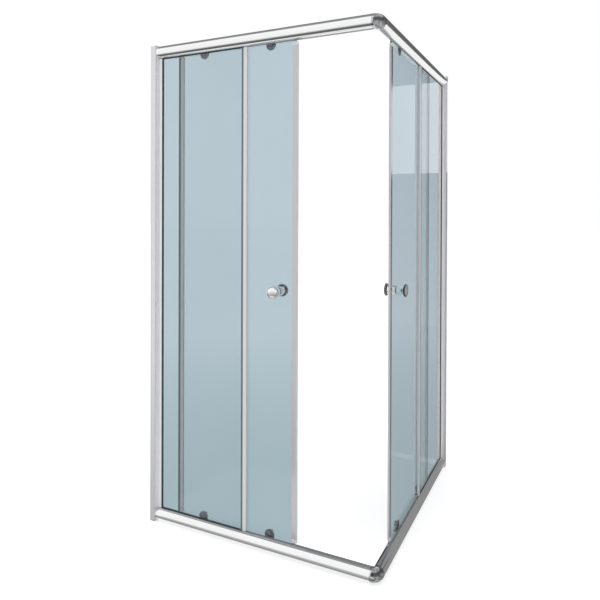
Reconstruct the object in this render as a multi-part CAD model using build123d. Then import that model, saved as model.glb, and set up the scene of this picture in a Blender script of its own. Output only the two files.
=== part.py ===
"""Corner entry shower door: two fixed panes and two sliding doors on half-round rails.

Every piece is first drawn in the frame of one face: u runs from the outer corner to the wall,
d runs inwards from the outer face, z runs up from the tray. place_side turns that frame onto
the side face and place_front mirrors it onto the front face. Sizes are in millimetres.
"""
from build123d import *
from math import cos, radians, sin
import os

# Overall size
FACE_WIDTH = 950.0        # outer corner to wall, the same on both faces
HEIGHT = 1850.0
FIXED_EDGE = 520.0        # outer corner to the free edge of the fixed pane

# Rail extrusions
RAIL_HEIGHT = 50.0
RAIL_WALL = 1.6
SLOT_DEPTH = 14.0         # glazing slot in the edge of the rail
PORT_RADIUS = 4.0         # screw ports inside the half-round chamber
PORT_HOLE_RADIUS = 1.9
PORT_BITE = 0.4           # how far a port runs into the wall that carries it
PORT_LOW = 9.6            # height of the rear port above the rail's outer edge
PORT_ANGLE = 150.0        # place of the front port round the half-round
TRACK_THICKNESS = 1.6
THIN_ROUND = 0.4          # rounding of a thin edge, as a share of its thickness
BOTTOM_TRACK_HEIGHT = 33.0
TOP_TRACK_DROP = 28.5     # top of the rail down to the top of the carrying lip
TOP_LIP_HEIGHT = 2.7      # lip above the ledge that carries it
WEEP_LENGTH = 14.0
WEEP_HEIGHT = 3.0
WEEP_PITCH = 240.0

# Glass and glazing
GLASS = 5.0
GASKET = 1.5              # rubber at each side of the glass
GASKET_FLOOR = 2.0        # rubber under the glass edge
RAIL_GASKET_PROUD = 2.0
JAMB_GASKET_PROUD = 4.5
PANE_GAP = 5.0            # clear space between fixed pane and door pane
FILLER_WALL = 1.2
FILLER_SET_BACK = 0.4

# Wall channel and side jamb
CHANNEL_SET_BACK = 0.4
CHANNEL_WIDTH = 24.0
CHANNEL_WALL = 1.6
CHANNEL_GAP = 0.4         # play between channel and jamb
JAMB_WALL = 1.5
JAMB_LEG = 18.0           # leg of the jamb that slides in the channel
JAMB_GLASS_REACH = 16.5   # glass channel beyond the jamb's web
CAP_THICKNESS = 1.5
WALL_HOLE_RADIUS = 2.75
WALL_HOLE_PITCH = 750.0
JAMB_SCREW_PITCH = 700.0

# Corner elbows
ELBOW_RADIUS = 40.0
SPIGOT_LENGTH = 25.0
SPIGOT_CLEARANCE = 0.6
ELBOW_EDGE = 1.5
SPIGOT_FRONT = 0.35       # front of the spigot, as a share of the nose's radius

# Edge profiles of the panes
PROFILE_WALL = 1.2
PROFILE_WEB = 1.5
FIN = 1.5                 # thickness of the two hooks that overlap when the door is shut
FIN_GAP = 0.8             # between the two hooks when shut
FIN_CLEARANCE = 0.4       # from a hook to the profile it passes
EDGE_PROFILE_WIDTH = 22.0
STILE_WIDTH = 24.0
STILE_WALL = 1.5
STILE_WEB = 4.0           # solid nose of the stile in front of the glass edge
MAGNET_ROOT = 2.2
MAGNET_ROOT_WIDTH = 3.0
MITRE_GAP = 0.3           # each door stops this far off the diagonal
STILE_CAP = 12.0
STILE_CAP_ROUND = 7.0
RAIL_GAP = 2.0            # stile and profile ends off the rails

# Doors
ROLLER_INSET = 115.0      # rollers from each edge of the door
GLASS_BELOW_RAIL = 25.0   # glass reaches this far down behind the bottom rail
GLASS_ABOVE_RAIL = 21.0   # and this far up behind the top rail
OPEN_STOP = 14.0          # door to jamb when fully open
FRONT_OPEN = 287.0        # how far each door stands open here
SIDE_OPEN = 137.0

# Rollers
RUN_GAP = 0.3             # wheel tread to track
SEAT = 0.2                # moulded parts to glass
WHEEL_WIDTH = 5.0
WHEEL_SIDE_GAP = 0.4
GROOVE_SIDE_GAP = 0.4
GROOVE_DEPTH = 2.0
TOP_WHEEL_RADIUS = 12.0
BOTTOM_WHEEL_RADIUS = 10.0
WHEEL_HUB = 2.0           # hub thickness round the bore
WHEEL_DISH = 0.8          # side recess between hub and rim
RIM = 2.2
BORE_CLEARANCE = 0.05
TOP_AXLE_RADIUS = 3.0
BOTTOM_AXLE_RADIUS = 2.5
AXLE_HEAD_RADIUS = 5.0
AXLE_HEAD = 1.3
HOLDER_RADIUS = 19.0
HOLDER_THICKNESS = 3.0
HANGER_NECK_RADIUS = 11.0
HANGER_DROP = 1.0         # centre of the top disc below the rail
HOLDER_RISE = 4.0         # centre of the bottom disc above the rail
HOLDER_BOLT_RISE = 9.0    # fixing bolt above the centre of the bottom disc
BOSS_RADIUS = 4.7
BOLT_RADIUS = 2.5
BOLT_HEAD_RADIUS = 7.0
BOLT_HEAD = 1.2
HOLE_CLEARANCE = 0.3
THREAD_CLEARANCE = 0.1
RELEASE_TRAVEL = 3.0
GUIDE_WIDTH = 18.0
GUIDE_HEIGHT = 9.5
GUIDE_WALL = 1.8
TONGUE_WIDTH = 10.0
TONGUE = 2.0
TONGUE_CLEARANCE = 0.3
TONGUE_HEAD = 2.2
THUMB_TAB = 6.0
TAB_ROUND = 3.0

# Knobs
KNOB_INSET = 85.0
KNOB_HEIGHT = 925.0
KNOB_LENGTH = 35.0
KNOB_BODY_RADIUS = 14.5
KNOB_END_RADIUS = 20.0
KNOB_NECK_RADIUS = 12.5
KNOB_GROOVE = 2.0
KNOB_BASE = 4.0
KNOB_END = 4.5
KNOB_EDGE = 1.2
BUSH_FLANGE = 1.0
BUSH_RADIUS = 6.0
STUD_RADIUS = 3.0
STUD_GRIP = 16.0

# Track stops
STOP_LENGTH = 16.0
BUFFER = 3.0
STOP_EDGE = 2.0
STOP_RISE = 5.6           # top of a stop above the middle of the wheels

# Screws
SCREW_RADIUS = 1.8
SCREW_HEAD_RADIUS = 3.3
SCREW_HEAD = 2.2
HEAD_DOME = 0.9
POINT = 0.9
RAIL_SCREW_LENGTH = 22.0
ELBOW_SCREW_LENGTH = 11.0
JAMB_SCREW_LENGTH = 9.0
SCREW_CAP_RADIUS = 6.5
SCREW_CAP = 4.5
SCREW_CAP_WALL = 1.0
SCREW_CAP_DOME = 2.7

OVERCUT = 1.0             # how far a cut runs past the face it starts at

# Depths, measured inwards from the outer face
NOSE = RAIL_HEIGHT / 2
SLOT_BACK = NOSE
FIXED_FACE = SLOT_BACK - GASKET - GLASS
SLOT_FRONT = FIXED_FACE - GASKET
CHAMBER_BACK = SLOT_BACK + RAIL_WALL
DOOR_FACE = FIXED_FACE + GLASS + PANE_GAP
DOOR_BACK = DOOR_FACE + GLASS
HOLDER_FRONT = DOOR_BACK + SEAT
HOLDER_BACK = HOLDER_FRONT + HOLDER_THICKNESS
WHEEL_FRONT = HOLDER_BACK + WHEEL_SIDE_GAP
WHEEL_BACK = WHEEL_FRONT + WHEEL_WIDTH
TRACK_MIDDLE = WHEEL_FRONT + WHEEL_WIDTH / 2
TRACK_FRONT = TRACK_MIDDLE - TRACK_THICKNESS / 2
TRACK_BACK = TRACK_MIDDLE + TRACK_THICKNESS / 2
AXLE_HEAD_FRONT = WHEEL_BACK + WHEEL_SIDE_GAP
TOP_RAIL_INNER = AXLE_HEAD_FRONT + AXLE_HEAD + WHEEL_SIDE_GAP
TOP_RAIL_BACK = TOP_RAIL_INNER + RAIL_WALL
CHANNEL_BACK = TOP_RAIL_BACK
CHANNEL_DEPTH = CHANNEL_BACK - CHANNEL_SET_BACK
STILE_FACE = DOOR_FACE - STILE_WALL
STILE_BACK = DOOR_BACK + STILE_WALL
TONGUE_FRONT = WHEEL_BACK + SEAT
TONGUE_BACK = TONGUE_FRONT + TONGUE

# Places along the face, measured from the outer corner
RAIL_START = ELBOW_RADIUS
CHANNEL_EDGE = FACE_WIDTH - CHANNEL_WIDTH
WEB_FACE = CHANNEL_EDGE - JAMB_WALL
RAIL_END = WEB_FACE
JAMB_EDGE = WEB_FACE - JAMB_GLASS_REACH
GLASS_WALL_EDGE = WEB_FACE - GASKET_FLOOR
SHUT_TIP = STILE_FACE + MITRE_GAP
HOOK_FACE = FIXED_EDGE + EDGE_PROFILE_WIDTH
SHUT_END = HOOK_FACE + FIN_GAP + FIN
DOOR_WIDTH = SHUT_END - SHUT_TIP
TRAVEL = JAMB_EDGE - OPEN_STOP - SHUT_END

# Heights
SLOT_FLOOR = RAIL_HEIGHT - SLOT_DEPTH
RAILS_LOW = RAIL_HEIGHT
RAILS_HIGH = HEIGHT - RAIL_HEIGHT
LIP_TOP = HEIGHT - TOP_TRACK_DROP
LEDGE_TOP = LIP_TOP - TOP_LIP_HEIGHT
TOP_GROOVE_RADIUS = TOP_WHEEL_RADIUS - GROOVE_DEPTH
BOTTOM_GROOVE_RADIUS = BOTTOM_WHEEL_RADIUS - GROOVE_DEPTH
TOP_AXLE_Z = LIP_TOP + RUN_GAP + TOP_GROOVE_RADIUS
BOTTOM_AXLE_Z = BOTTOM_TRACK_HEIGHT + RUN_GAP + BOTTOM_GROOVE_RADIUS
TOP_DISC_Z = RAILS_HIGH - HANGER_DROP
BOTTOM_DISC_Z = RAILS_LOW + HOLDER_RISE
BOTTOM_BOLT_Z = BOTTOM_DISC_Z + HOLDER_BOLT_RISE
GLASS_LOW = RAILS_LOW - GLASS_BELOW_RAIL
GLASS_HIGH = RAILS_HIGH + GLASS_ABOVE_RAIL

# The origin is the middle of the footprint, with the knobs that stand proud of both faces
KNOB_PROUD = KNOB_LENGTH + BUSH_FLANGE - DOOR_FACE
CORNER = (FACE_WIDTH - KNOB_PROUD) / 2


def box(u0, u1, d0, d1, z0, z1):
    """Solid block between two opposite corners."""
    middle = Pos((u0 + u1) / 2, (d0 + d1) / 2, (z0 + z1) / 2)
    return middle * Box(u1 - u0, d1 - d0, z1 - z0)


def rect(x0, x1, y0, y1):
    """Flat rectangle between two opposite corners."""
    return Pos((x0 + x1) / 2, (y0 + y1) / 2) * Rectangle(x1 - x0, y1 - y0)


def outline(*points):
    """Flat face inside a closed run of straight lines."""
    return make_face(Polyline(*points, close=True))


def along(section, u0, u1):
    """Extrude a section drawn in (d, z) along the face, from u0 to u1."""
    return extrude(Plane.YZ.offset(u0) * section, amount=u1 - u0)


def upright(section, z0, z1):
    """Extrude a section drawn in (u, d) upwards, from z0 to z1."""
    return extrude(Pos(0, 0, z0) * section, amount=z1 - z0)


def turned(profile, u, z):
    """Turn a profile drawn in (radius, d) round the depth axis at (u, z)."""
    return Pos(u, 0, z) * revolve(profile, Axis.Y)


def rod(radius, u, z, d0, d1):
    """Round bar along the depth axis."""
    return turned(rect(0, radius, d0, d1), u, z)


def flipped(shape):
    """Mirror a piece of the bottom rail to the same place on the top rail."""
    return Pos(0, 0, HEIGHT) * mirror(shape, about=Plane.XY)


def place_side(shape):
    """Face frame to the side face."""
    return Pos(CORNER, -CORNER, 0) * Rot(0, 0, 90) * shape


def place_front(shape):
    """Face frame to the front face."""
    return Pos(CORNER, -CORNER, 0) * mirror(shape, about=Plane.YZ)


FACES = {"front": place_front, "side": place_side}
OPENINGS = {"front": FRONT_OPEN, "side": SIDE_OPEN}


def group(*shapes):
    """Separate solids that share one node."""
    solids = [solid for shape in shapes for solid in shape.solids()]
    return Compound(children=solids)


def screw(length):
    """Pan-head screw: its head stands on z = 0 and its shank runs down."""
    head = Cylinder(SCREW_HEAD_RADIUS, SCREW_HEAD, align=(Align.CENTER, Align.CENTER, Align.MIN))
    head = fillet(head.edges().group_by(Axis.Z)[-1], HEAD_DOME)
    shank = Cylinder(SCREW_RADIUS, length, align=(Align.CENTER, Align.CENTER, Align.MAX))
    point = shank.edges().group_by(Axis.Z)[0]
    return head + chamfer(point, POINT)


# Rails

def port_places():
    """Middle of each screw port in the bottom rail's section."""
    reach = NOSE - RAIL_WALL - PORT_RADIUS + PORT_BITE
    angle = radians(PORT_ANGLE)
    rear = (SLOT_BACK - PORT_RADIUS + PORT_BITE, PORT_LOW)
    front = (NOSE + reach * cos(angle), NOSE + reach * sin(angle))
    return [rear, front]


def half_round(inset=0.0):
    """The rounded nose with its straight back, or the same drawn in by a wall."""
    nose = Pos(NOSE, NOSE) * Circle(NOSE - inset)
    return nose & rect(0, NOSE, 0, RAIL_HEIGHT)


def chamber_section():
    """Closed half-round chamber with the glazing slot and the two screw ports."""
    outer = half_round() + rect(NOSE, CHAMBER_BACK, 0, RAIL_HEIGHT)
    slot_block = rect(SLOT_FRONT - RAIL_WALL, SLOT_BACK, SLOT_FLOOR - RAIL_WALL, RAIL_HEIGHT)
    hollow = half_round(RAIL_WALL) - slot_block
    section = outer - hollow - rect(SLOT_FRONT, SLOT_BACK, SLOT_FLOOR, RAIL_HEIGHT)
    for place in port_places():
        section += (Pos(*place) * Circle(PORT_RADIUS)) & half_round(RAIL_WALL / 2)
    for place in port_places():
        section -= Pos(*place) * Circle(PORT_HOLE_RADIUS)
    return section


def bottom_rail():
    """Half-round chamber, drip tray behind it and the upright rib that the wheels run on."""
    tray = rect(SLOT_BACK, TRACK_BACK, 0, RAIL_WALL)
    rib = rect(TRACK_FRONT, TRACK_BACK, 0, BOTTOM_TRACK_HEIGHT)
    rib = fillet(rib.vertices().group_by(Axis.Y)[-1], TRACK_THICKNESS * THIN_ROUND)
    rail = along(chamber_section() + tray + rib, RAIL_START, RAIL_END)
    count = int((RAIL_END - RAIL_START) // WEEP_PITCH)
    weep = SlotOverall(WEEP_LENGTH, WEEP_HEIGHT)
    middle = (RAIL_START + RAIL_END) / 2
    for index in range(count):
        u = middle + (index - (count - 1) / 2) * WEEP_PITCH
        hole = Pos(u, TRACK_MIDDLE, RAIL_WALL + WEEP_HEIGHT / 2) * Rot(90, 0, 0) * weep
        rail -= extrude(hole, amount=TRACK_THICKNESS, both=True)
    return rail - rail_end_holes()


def top_rail():
    """Half-round chamber with the inner wall, ledge and lip that carry the door wheels."""
    drop = HEIGHT - LEDGE_TOP
    web = rect(SLOT_BACK, TOP_RAIL_BACK, 0, RAIL_WALL)
    wall = rect(TOP_RAIL_INNER, TOP_RAIL_BACK, 0, drop + TRACK_THICKNESS)
    ledge = rect(TRACK_FRONT, TOP_RAIL_BACK, drop, drop + TRACK_THICKNESS)
    lip = rect(TRACK_FRONT, TRACK_BACK, TOP_TRACK_DROP, drop + TRACK_THICKNESS)
    lip = fillet(lip.vertices().group_by(Axis.Y)[0], TRACK_THICKNESS * THIN_ROUND)
    rail = along(chamber_section() + web + wall + ledge + lip, RAIL_START, RAIL_END)
    reach = TOP_RAIL_BACK + MITRE_GAP * 2
    mitre = upright(outline((0, 0), (reach, reach - MITRE_GAP), (0, reach)), 0, RAIL_HEIGHT)
    return flipped(rail - mitre - rail_end_holes())


def elbow_screw_place():
    """Where the elbow's screw crosses the back of the chamber."""
    low, high = spigot_heights()
    return RAIL_START + SPIGOT_LENGTH / 2, (low + high) / 2


def rail_end_holes():
    """Countersunk hole for the elbow's screw, through the back of the chamber."""
    u, z = elbow_screw_place()
    return countersink(u, z, THREAD_CLEARANCE, NOSE - RAIL_WALL)


def countersink(u, z, clearance, d0):
    """Countersunk screw drawn from the back of the chamber outwards, or its hole."""
    shank = SCREW_RADIUS + clearance
    head = SCREW_HEAD_RADIUS + clearance
    profile = outline((0, d0), (shank, d0), (shank, SLOT_BACK), (head, CHAMBER_BACK), (0, CHAMBER_BACK))
    return turned(profile, u, z)


def spigot_heights():
    """Lowest and highest level of the elbow's spigot between the two ports."""
    (_, low), (_, high) = port_places()
    margin = PORT_RADIUS + SPIGOT_CLEARANCE
    return low + margin, high - margin


def spigot():
    """Block of the elbow that slides into a rail's chamber."""
    low, high = spigot_heights()
    (rear, _), _ = port_places()
    front = NOSE * SPIGOT_FRONT
    block = box(RAIL_START - ELBOW_EDGE, RAIL_START + SPIGOT_LENGTH, front, rear, low, high)
    block = chamfer(block.edges().filter_by(Axis.Z).group_by(Axis.X)[-1], ELBOW_EDGE)
    u, z = elbow_screw_place()
    return block - rod(SCREW_RADIUS + THREAD_CLEARANCE, u, z, front + RAIL_WALL, rear + RAIL_WALL)


def bottom_elbow():
    """Quarter turn of the half-round nose, its foot plate and a spigot for each rail."""
    ring = half_round() + rect(NOSE, CHAMBER_BACK, 0, RAIL_HEIGHT)
    radial = Pos(ELBOW_RADIUS, 0) * mirror(ring, about=Plane.YZ)
    turn = revolve(Plane.XZ * radial, Axis.Z, 90)
    middle = Pos(CORNER - ELBOW_RADIUS, ELBOW_RADIUS - CORNER, 0)
    body = middle * Rot(0, 0, -90) * turn
    plate = place_side(box(NOSE, ELBOW_RADIUS, NOSE, ELBOW_RADIUS, 0, RAIL_WALL))
    return body + plate + place_side(spigot()) + place_front(spigot())


# Glazing

def rail_gasket():
    """Rubber channel round the lower edge of the fixed pane."""
    section = rect(SLOT_FRONT, SLOT_BACK, SLOT_FLOOR, RAIL_HEIGHT + RAIL_GASKET_PROUD)
    section -= rect(FIXED_FACE, FIXED_FACE + GLASS, SLOT_FLOOR + GASKET_FLOOR, HEIGHT)
    return along(section, FIXED_EDGE + EDGE_PROFILE_WIDTH, RAIL_END)


def slot_filler():
    """Cover strip that closes the glazing slot across the doorway."""
    top = RAIL_HEIGHT - FILLER_SET_BACK
    section = rect(SLOT_FRONT, SLOT_BACK, SLOT_FLOOR, top)
    section -= rect(SLOT_FRONT + FILLER_WALL, SLOT_BACK - FILLER_WALL, SLOT_FLOOR, top - FILLER_WALL)
    return along(section, RAIL_START, FIXED_EDGE)


def jamb_gasket():
    """Rubber channel round the wall-side edge of the fixed pane."""
    section = rect(JAMB_EDGE - JAMB_GASKET_PROUD, WEB_FACE, SLOT_FRONT, SLOT_BACK)
    section -= rect(0, GLASS_WALL_EDGE, FIXED_FACE, FIXED_FACE + GLASS)
    low = RAILS_LOW + RAIL_GASKET_PROUD + SEAT
    high = RAILS_HIGH - RAIL_GASKET_PROUD - SEAT
    return upright(section, low, high)


def fixed_glass():
    """Fixed pane, from its free edge to the jamb."""
    low = SLOT_FLOOR + GASKET_FLOOR
    return box(FIXED_EDGE + PROFILE_WEB, GLASS_WALL_EDGE, FIXED_FACE, FIXED_FACE + GLASS, low, HEIGHT - low)


def fixed_edge_profile():
    """Channel on the fixed pane's free edge, with a hook towards the door."""
    front = FIXED_FACE - PROFILE_WALL
    back = FIXED_FACE + GLASS + PROFILE_WALL
    hook_tip = DOOR_FACE - PROFILE_WALL - FIN_CLEARANCE
    section = rect(FIXED_EDGE, FIXED_EDGE + EDGE_PROFILE_WIDTH, front, back)
    section -= rect(FIXED_EDGE + PROFILE_WEB, FACE_WIDTH, FIXED_FACE, FIXED_FACE + GLASS)
    section += rect(HOOK_FACE - FIN, HOOK_FACE, back, hook_tip)
    return upright(section, RAILS_LOW + SEAT, RAILS_HIGH - SEAT)


# Wall side

def wall_channel():
    """Open channel screwed to the wall."""
    section = rect(CHANNEL_EDGE, FACE_WIDTH, CHANNEL_SET_BACK, CHANNEL_BACK)
    front = CHANNEL_SET_BACK + CHANNEL_WALL
    section -= rect(CHANNEL_EDGE, FACE_WIDTH - CHANNEL_WALL, front, CHANNEL_BACK - CHANNEL_WALL)
    channel = upright(section, 0, HEIGHT - CAP_THICKNESS)
    middle = CHANNEL_SET_BACK + CHANNEL_DEPTH / 2
    for z in levels(WALL_HOLE_PITCH):
        hole = Pos(FACE_WIDTH, middle, z) * Rot(0, 90, 0) * Cylinder(WALL_HOLE_RADIUS, CHANNEL_WALL * 4)
        channel -= hole
    return channel - jamb_screw_holes()


def levels(pitch):
    """Three levels, a pitch apart, with one at mid-height."""
    return [HEIGHT / 2 - pitch, HEIGHT / 2, HEIGHT / 2 + pitch]


def jamb_screw_u():
    """Middle of the jamb's leg, where the screws go."""
    return CHANNEL_EDGE + JAMB_LEG / 2


def jamb_screw_holes():
    """Holes through the inner flanges of channel and jamb."""
    inner = CHANNEL_BACK - CHANNEL_WALL - CHANNEL_GAP - JAMB_WALL
    radius = SCREW_RADIUS + THREAD_CLEARANCE
    hole = rod(radius, jamb_screw_u(), 0, inner - OVERCUT, CHANNEL_BACK + OVERCUT)
    return [Pos(0, 0, z) * hole for z in levels(JAMB_SCREW_PITCH)]


def side_jamb():
    """Jamb that slides in the wall channel and holds the fixed pane."""
    front = CHANNEL_SET_BACK + CHANNEL_WALL + CHANNEL_GAP
    back = CHANNEL_BACK - CHANNEL_WALL - CHANNEL_GAP
    legs = rect(WEB_FACE, CHANNEL_EDGE + JAMB_LEG, front, back)
    legs -= rect(CHANNEL_EDGE, FACE_WIDTH, front + JAMB_WALL, back - JAMB_WALL)
    glass_channel = rect(JAMB_EDGE, WEB_FACE, SLOT_FRONT - RAIL_WALL, SLOT_BACK + RAIL_WALL)
    glass_channel -= rect(JAMB_EDGE, WEB_FACE, SLOT_FRONT, SLOT_BACK)
    jamb = upright(legs, 0, HEIGHT - CAP_THICKNESS)
    jamb += upright(glass_channel, RAILS_LOW + SEAT, RAILS_HIGH - SEAT)
    for d, z in port_places():
        hole = rod(SCREW_RADIUS + THREAD_CLEARANCE, 0, 0, WEB_FACE - OVERCUT, CHANNEL_EDGE + OVERCUT)
        hole = Pos(0, d, z) * Rot(0, 0, -90) * hole
        jamb -= hole
        jamb -= flipped(hole)
    return jamb - jamb_screw_holes()


def channel_cap():
    """Plate that closes the top of the channel and the jamb."""
    plate = box(WEB_FACE, FACE_WIDTH, CHANNEL_SET_BACK, CHANNEL_BACK, HEIGHT - CAP_THICKNESS, HEIGHT)
    return fillet(plate.edges().filter_by(Axis.Z).group_by(Axis.Y)[0], CAP_THICKNESS / 2)


def jamb_screws():
    """Screws through the inner flanges of channel and jamb."""
    pose = Rot(-90, 0, 0) * screw(JAMB_SCREW_LENGTH)
    return [Pos(jamb_screw_u(), CHANNEL_BACK, z) * pose for z in levels(JAMB_SCREW_PITCH)]


def screw_caps():
    """Domed covers that snap round the jamb screws' heads."""
    inner = SCREW_CAP - SCREW_CAP_WALL
    dome = Cylinder(SCREW_CAP_RADIUS, SCREW_CAP, align=(Align.CENTER, Align.CENTER, Align.MIN))
    dome = fillet(dome.edges().group_by(Axis.Z)[-1], SCREW_CAP_DOME)
    hollow = Cylinder(SCREW_HEAD_RADIUS + SEAT, inner, align=(Align.CENTER, Align.CENTER, Align.MIN))
    pose = Rot(-90, 0, 0) * (dome - hollow)
    return [Pos(jamb_screw_u(), CHANNEL_BACK, z) * pose for z in levels(JAMB_SCREW_PITCH)]


def rail_screws():
    """Screws through the jamb's web into the ports of both rails."""
    pose = Rot(0, 90, 0) * screw(RAIL_SCREW_LENGTH)
    low = [Pos(CHANNEL_EDGE, d, z) * pose for d, z in port_places()]
    return low + [flipped(item) for item in low]


def elbow_screws():
    """Countersunk screws that hold both elbows in this face's rails."""
    u, z = elbow_screw_place()
    low = countersink(u, z, 0, CHAMBER_BACK - ELBOW_SCREW_LENGTH)
    return [low, flipped(low)]


def track_stop(u_face, direction):
    """Stop block on the top rail's ledge; direction points from its face to its back."""
    step = direction * STOP_LENGTH
    u0, u1 = sorted((u_face, u_face + step))
    over = box(u0, u1, WHEEL_FRONT, TOP_RAIL_INNER - SEAT, LIP_TOP + SEAT, TOP_AXLE_Z + STOP_RISE)
    foot = box(u0, u1, TRACK_BACK + SEAT, TOP_RAIL_INNER - SEAT, LEDGE_TOP + SEAT, TOP_AXLE_Z)
    block = over + foot
    return chamfer(block.edges().filter_by(Axis.Y).group_by(Axis.Z)[-1], STOP_EDGE)


def track_buffer(u_face, direction):
    """Rubber pad between the stop and the wheel."""
    u0, u1 = sorted((u_face, u_face + direction * BUFFER))
    high = TOP_AXLE_Z + STOP_RISE - STOP_EDGE
    return box(u0, u1, WHEEL_FRONT, TOP_RAIL_INNER - SEAT, LIP_TOP + STOP_EDGE, high)


def stop_places():
    """Pad faces at the shut end and at the open end, with the way to the stop's back."""
    reach = TOP_WHEEL_RADIUS + SEAT + RUN_GAP
    shut = SHUT_TIP + ROLLER_INSET - reach
    full = SHUT_END - ROLLER_INSET + TRAVEL + reach
    return [(shut, -1), (full, 1)]


# Door pieces, drawn with the tip of the leading edge at u = 0

def leading_outline():
    """Outer shape of the leading stile and its mitred magnet strip."""
    mitre = STILE_BACK - STILE_FACE
    return outline((0, STILE_FACE), (mitre, STILE_BACK), (STILE_WIDTH, STILE_BACK), (STILE_WIDTH, STILE_FACE))


def stile_nose():
    """Distance from the tip to the front of the stile, behind the magnet strip."""
    return STILE_BACK - STILE_FACE


def glass_start():
    """Distance from the tip to the door pane's leading edge."""
    return stile_nose() + STILE_WEB


def magnet_root():
    """Root of the magnet strip in the stile's groove."""
    middle = (STILE_FACE + STILE_BACK) / 2
    half = MAGNET_ROOT_WIDTH / 2
    return rect(stile_nose(), stile_nose() + MAGNET_ROOT, middle - half, middle + half)


def leading_stile():
    """Stile on the door pane's leading edge."""
    section = leading_outline() & rect(stile_nose(), STILE_WIDTH, STILE_FACE, STILE_BACK)
    section = fillet(section.vertices().group_by(Axis.X)[-1], STILE_WALL * THIN_ROUND)
    section -= rect(glass_start(), DOOR_WIDTH, DOOR_FACE, DOOR_BACK)
    section -= magnet_root()
    return upright(section, RAILS_LOW + RAIL_GAP + STILE_CAP, RAILS_HIGH - RAIL_GAP - STILE_CAP)


def magnet_strip():
    """Mitred strip that meets the other door's strip when both are shut."""
    section = leading_outline() & rect(0, stile_nose(), STILE_FACE, STILE_BACK)
    section += magnet_root()
    return upright(section, RAILS_LOW + RAIL_GAP + STILE_CAP, RAILS_HIGH - RAIL_GAP - STILE_CAP)


def stile_cap():
    """Moulded lower end of the leading stile, rounded at its leading corner."""
    low = RAILS_LOW + RAIL_GAP
    cap = upright(leading_outline(), low, low + STILE_CAP)
    corner = cap.edges().group_by(Axis.Z)[0].sort_by(Axis.X)[0]
    cap = fillet(corner, STILE_CAP_ROUND)
    return cap - box(glass_start(), DOOR_WIDTH, DOOR_FACE, DOOR_BACK, 0, HEIGHT)


def trailing_profile():
    """Channel on the door pane's trailing edge, with a hook towards the fixed pane."""
    front = DOOR_FACE - PROFILE_WALL
    hook_tip = FIXED_FACE + GLASS + PROFILE_WALL + FIN_CLEARANCE
    section = rect(DOOR_WIDTH - EDGE_PROFILE_WIDTH, DOOR_WIDTH, front, DOOR_BACK + PROFILE_WALL)
    section -= rect(0, DOOR_WIDTH - PROFILE_WEB, DOOR_FACE, DOOR_BACK)
    section += rect(DOOR_WIDTH - FIN, DOOR_WIDTH, hook_tip, front)
    return upright(section, RAILS_LOW + RAIL_GAP, RAILS_HIGH - RAIL_GAP)


def roller_places():
    """Places of the two rollers along the door."""
    return [ROLLER_INSET, DOOR_WIDTH - ROLLER_INSET]


def door_glass():
    """Sliding pane with its roller and knob holes."""
    pane = box(glass_start(), DOOR_WIDTH - PROFILE_WEB, DOOR_FACE, DOOR_BACK, GLASS_LOW, GLASS_HIGH)
    for u in roller_places():
        for z in (TOP_DISC_Z, BOTTOM_BOLT_Z):
            pane -= rod(BOSS_RADIUS + HOLE_CLEARANCE, u, z, DOOR_FACE, DOOR_BACK)
    return pane - rod(BUSH_RADIUS + HOLE_CLEARANCE, KNOB_INSET, KNOB_HEIGHT, DOOR_FACE, DOOR_BACK)


def boss(u, z):
    """Boss that fills the hole in the glass."""
    return rod(BOSS_RADIUS, u, z, DOOR_FACE + SEAT, HOLDER_FRONT)


def bolt_hole(u, z):
    """Hole for the fixing bolt through boss and plate."""
    return rod(BOLT_RADIUS + THREAD_CLEARANCE, u, z, DOOR_FACE, HOLDER_BACK)


def hanger(u):
    """Top hanger: round plate at the glass, neck up into the rail and the wheel's axle."""
    eye = Pos(u, TOP_DISC_Z) * Circle(HOLDER_RADIUS)
    neck = Pos(u, TOP_AXLE_Z) * Circle(HANGER_NECK_RADIUS)
    plate = make_hull(eye.edges() + neck.edges())
    plate = extrude(Plane.XZ.offset(-HOLDER_BACK) * plate, amount=HOLDER_THICKNESS)
    axle = rod(TOP_AXLE_RADIUS, u, TOP_AXLE_Z, HOLDER_BACK, AXLE_HEAD_FRONT + AXLE_HEAD)
    head = rod(AXLE_HEAD_RADIUS, u, TOP_AXLE_Z, AXLE_HEAD_FRONT, AXLE_HEAD_FRONT + AXLE_HEAD)
    return plate + axle + head + boss(u, TOP_DISC_Z) - bolt_hole(u, TOP_DISC_Z)


def bottom_holder(u):
    """Round plate at the glass with the guide that the wheel's carrier slides in."""
    plate = rod(HOLDER_RADIUS, u, BOTTOM_DISC_Z, HOLDER_FRONT, HOLDER_BACK)
    plate = fillet(plate.edges().group_by(Axis.Y)[-1], HOLDER_THICKNESS / 3)
    low = guide_low()
    half = GUIDE_WIDTH / 2
    slot_half = TONGUE_WIDTH / 2 + TONGUE_CLEARANCE
    slot_front = TONGUE_FRONT - TONGUE_CLEARANCE
    slot_back = TONGUE_BACK + TONGUE_CLEARANCE
    guide = box(u - half, u + half, HOLDER_BACK, slot_back + GUIDE_WALL, low, low + GUIDE_HEIGHT)
    guide = fillet(guide.edges().filter_by(Axis.Z).group_by(Axis.Y)[-1], GUIDE_WALL)
    guide -= box(u - slot_half, u + slot_half, slot_front, slot_back, low, low + GUIDE_HEIGHT)
    return plate + guide + boss(u, BOTTOM_BOLT_Z) - bolt_hole(u, BOTTOM_BOLT_Z)


def guide_low():
    """Underside of the guide, clear of the wheel when the carrier is lifted."""
    return BOTTOM_AXLE_Z + BOTTOM_WHEEL_RADIUS + RELEASE_TRAVEL + WHEEL_SIDE_GAP


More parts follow.
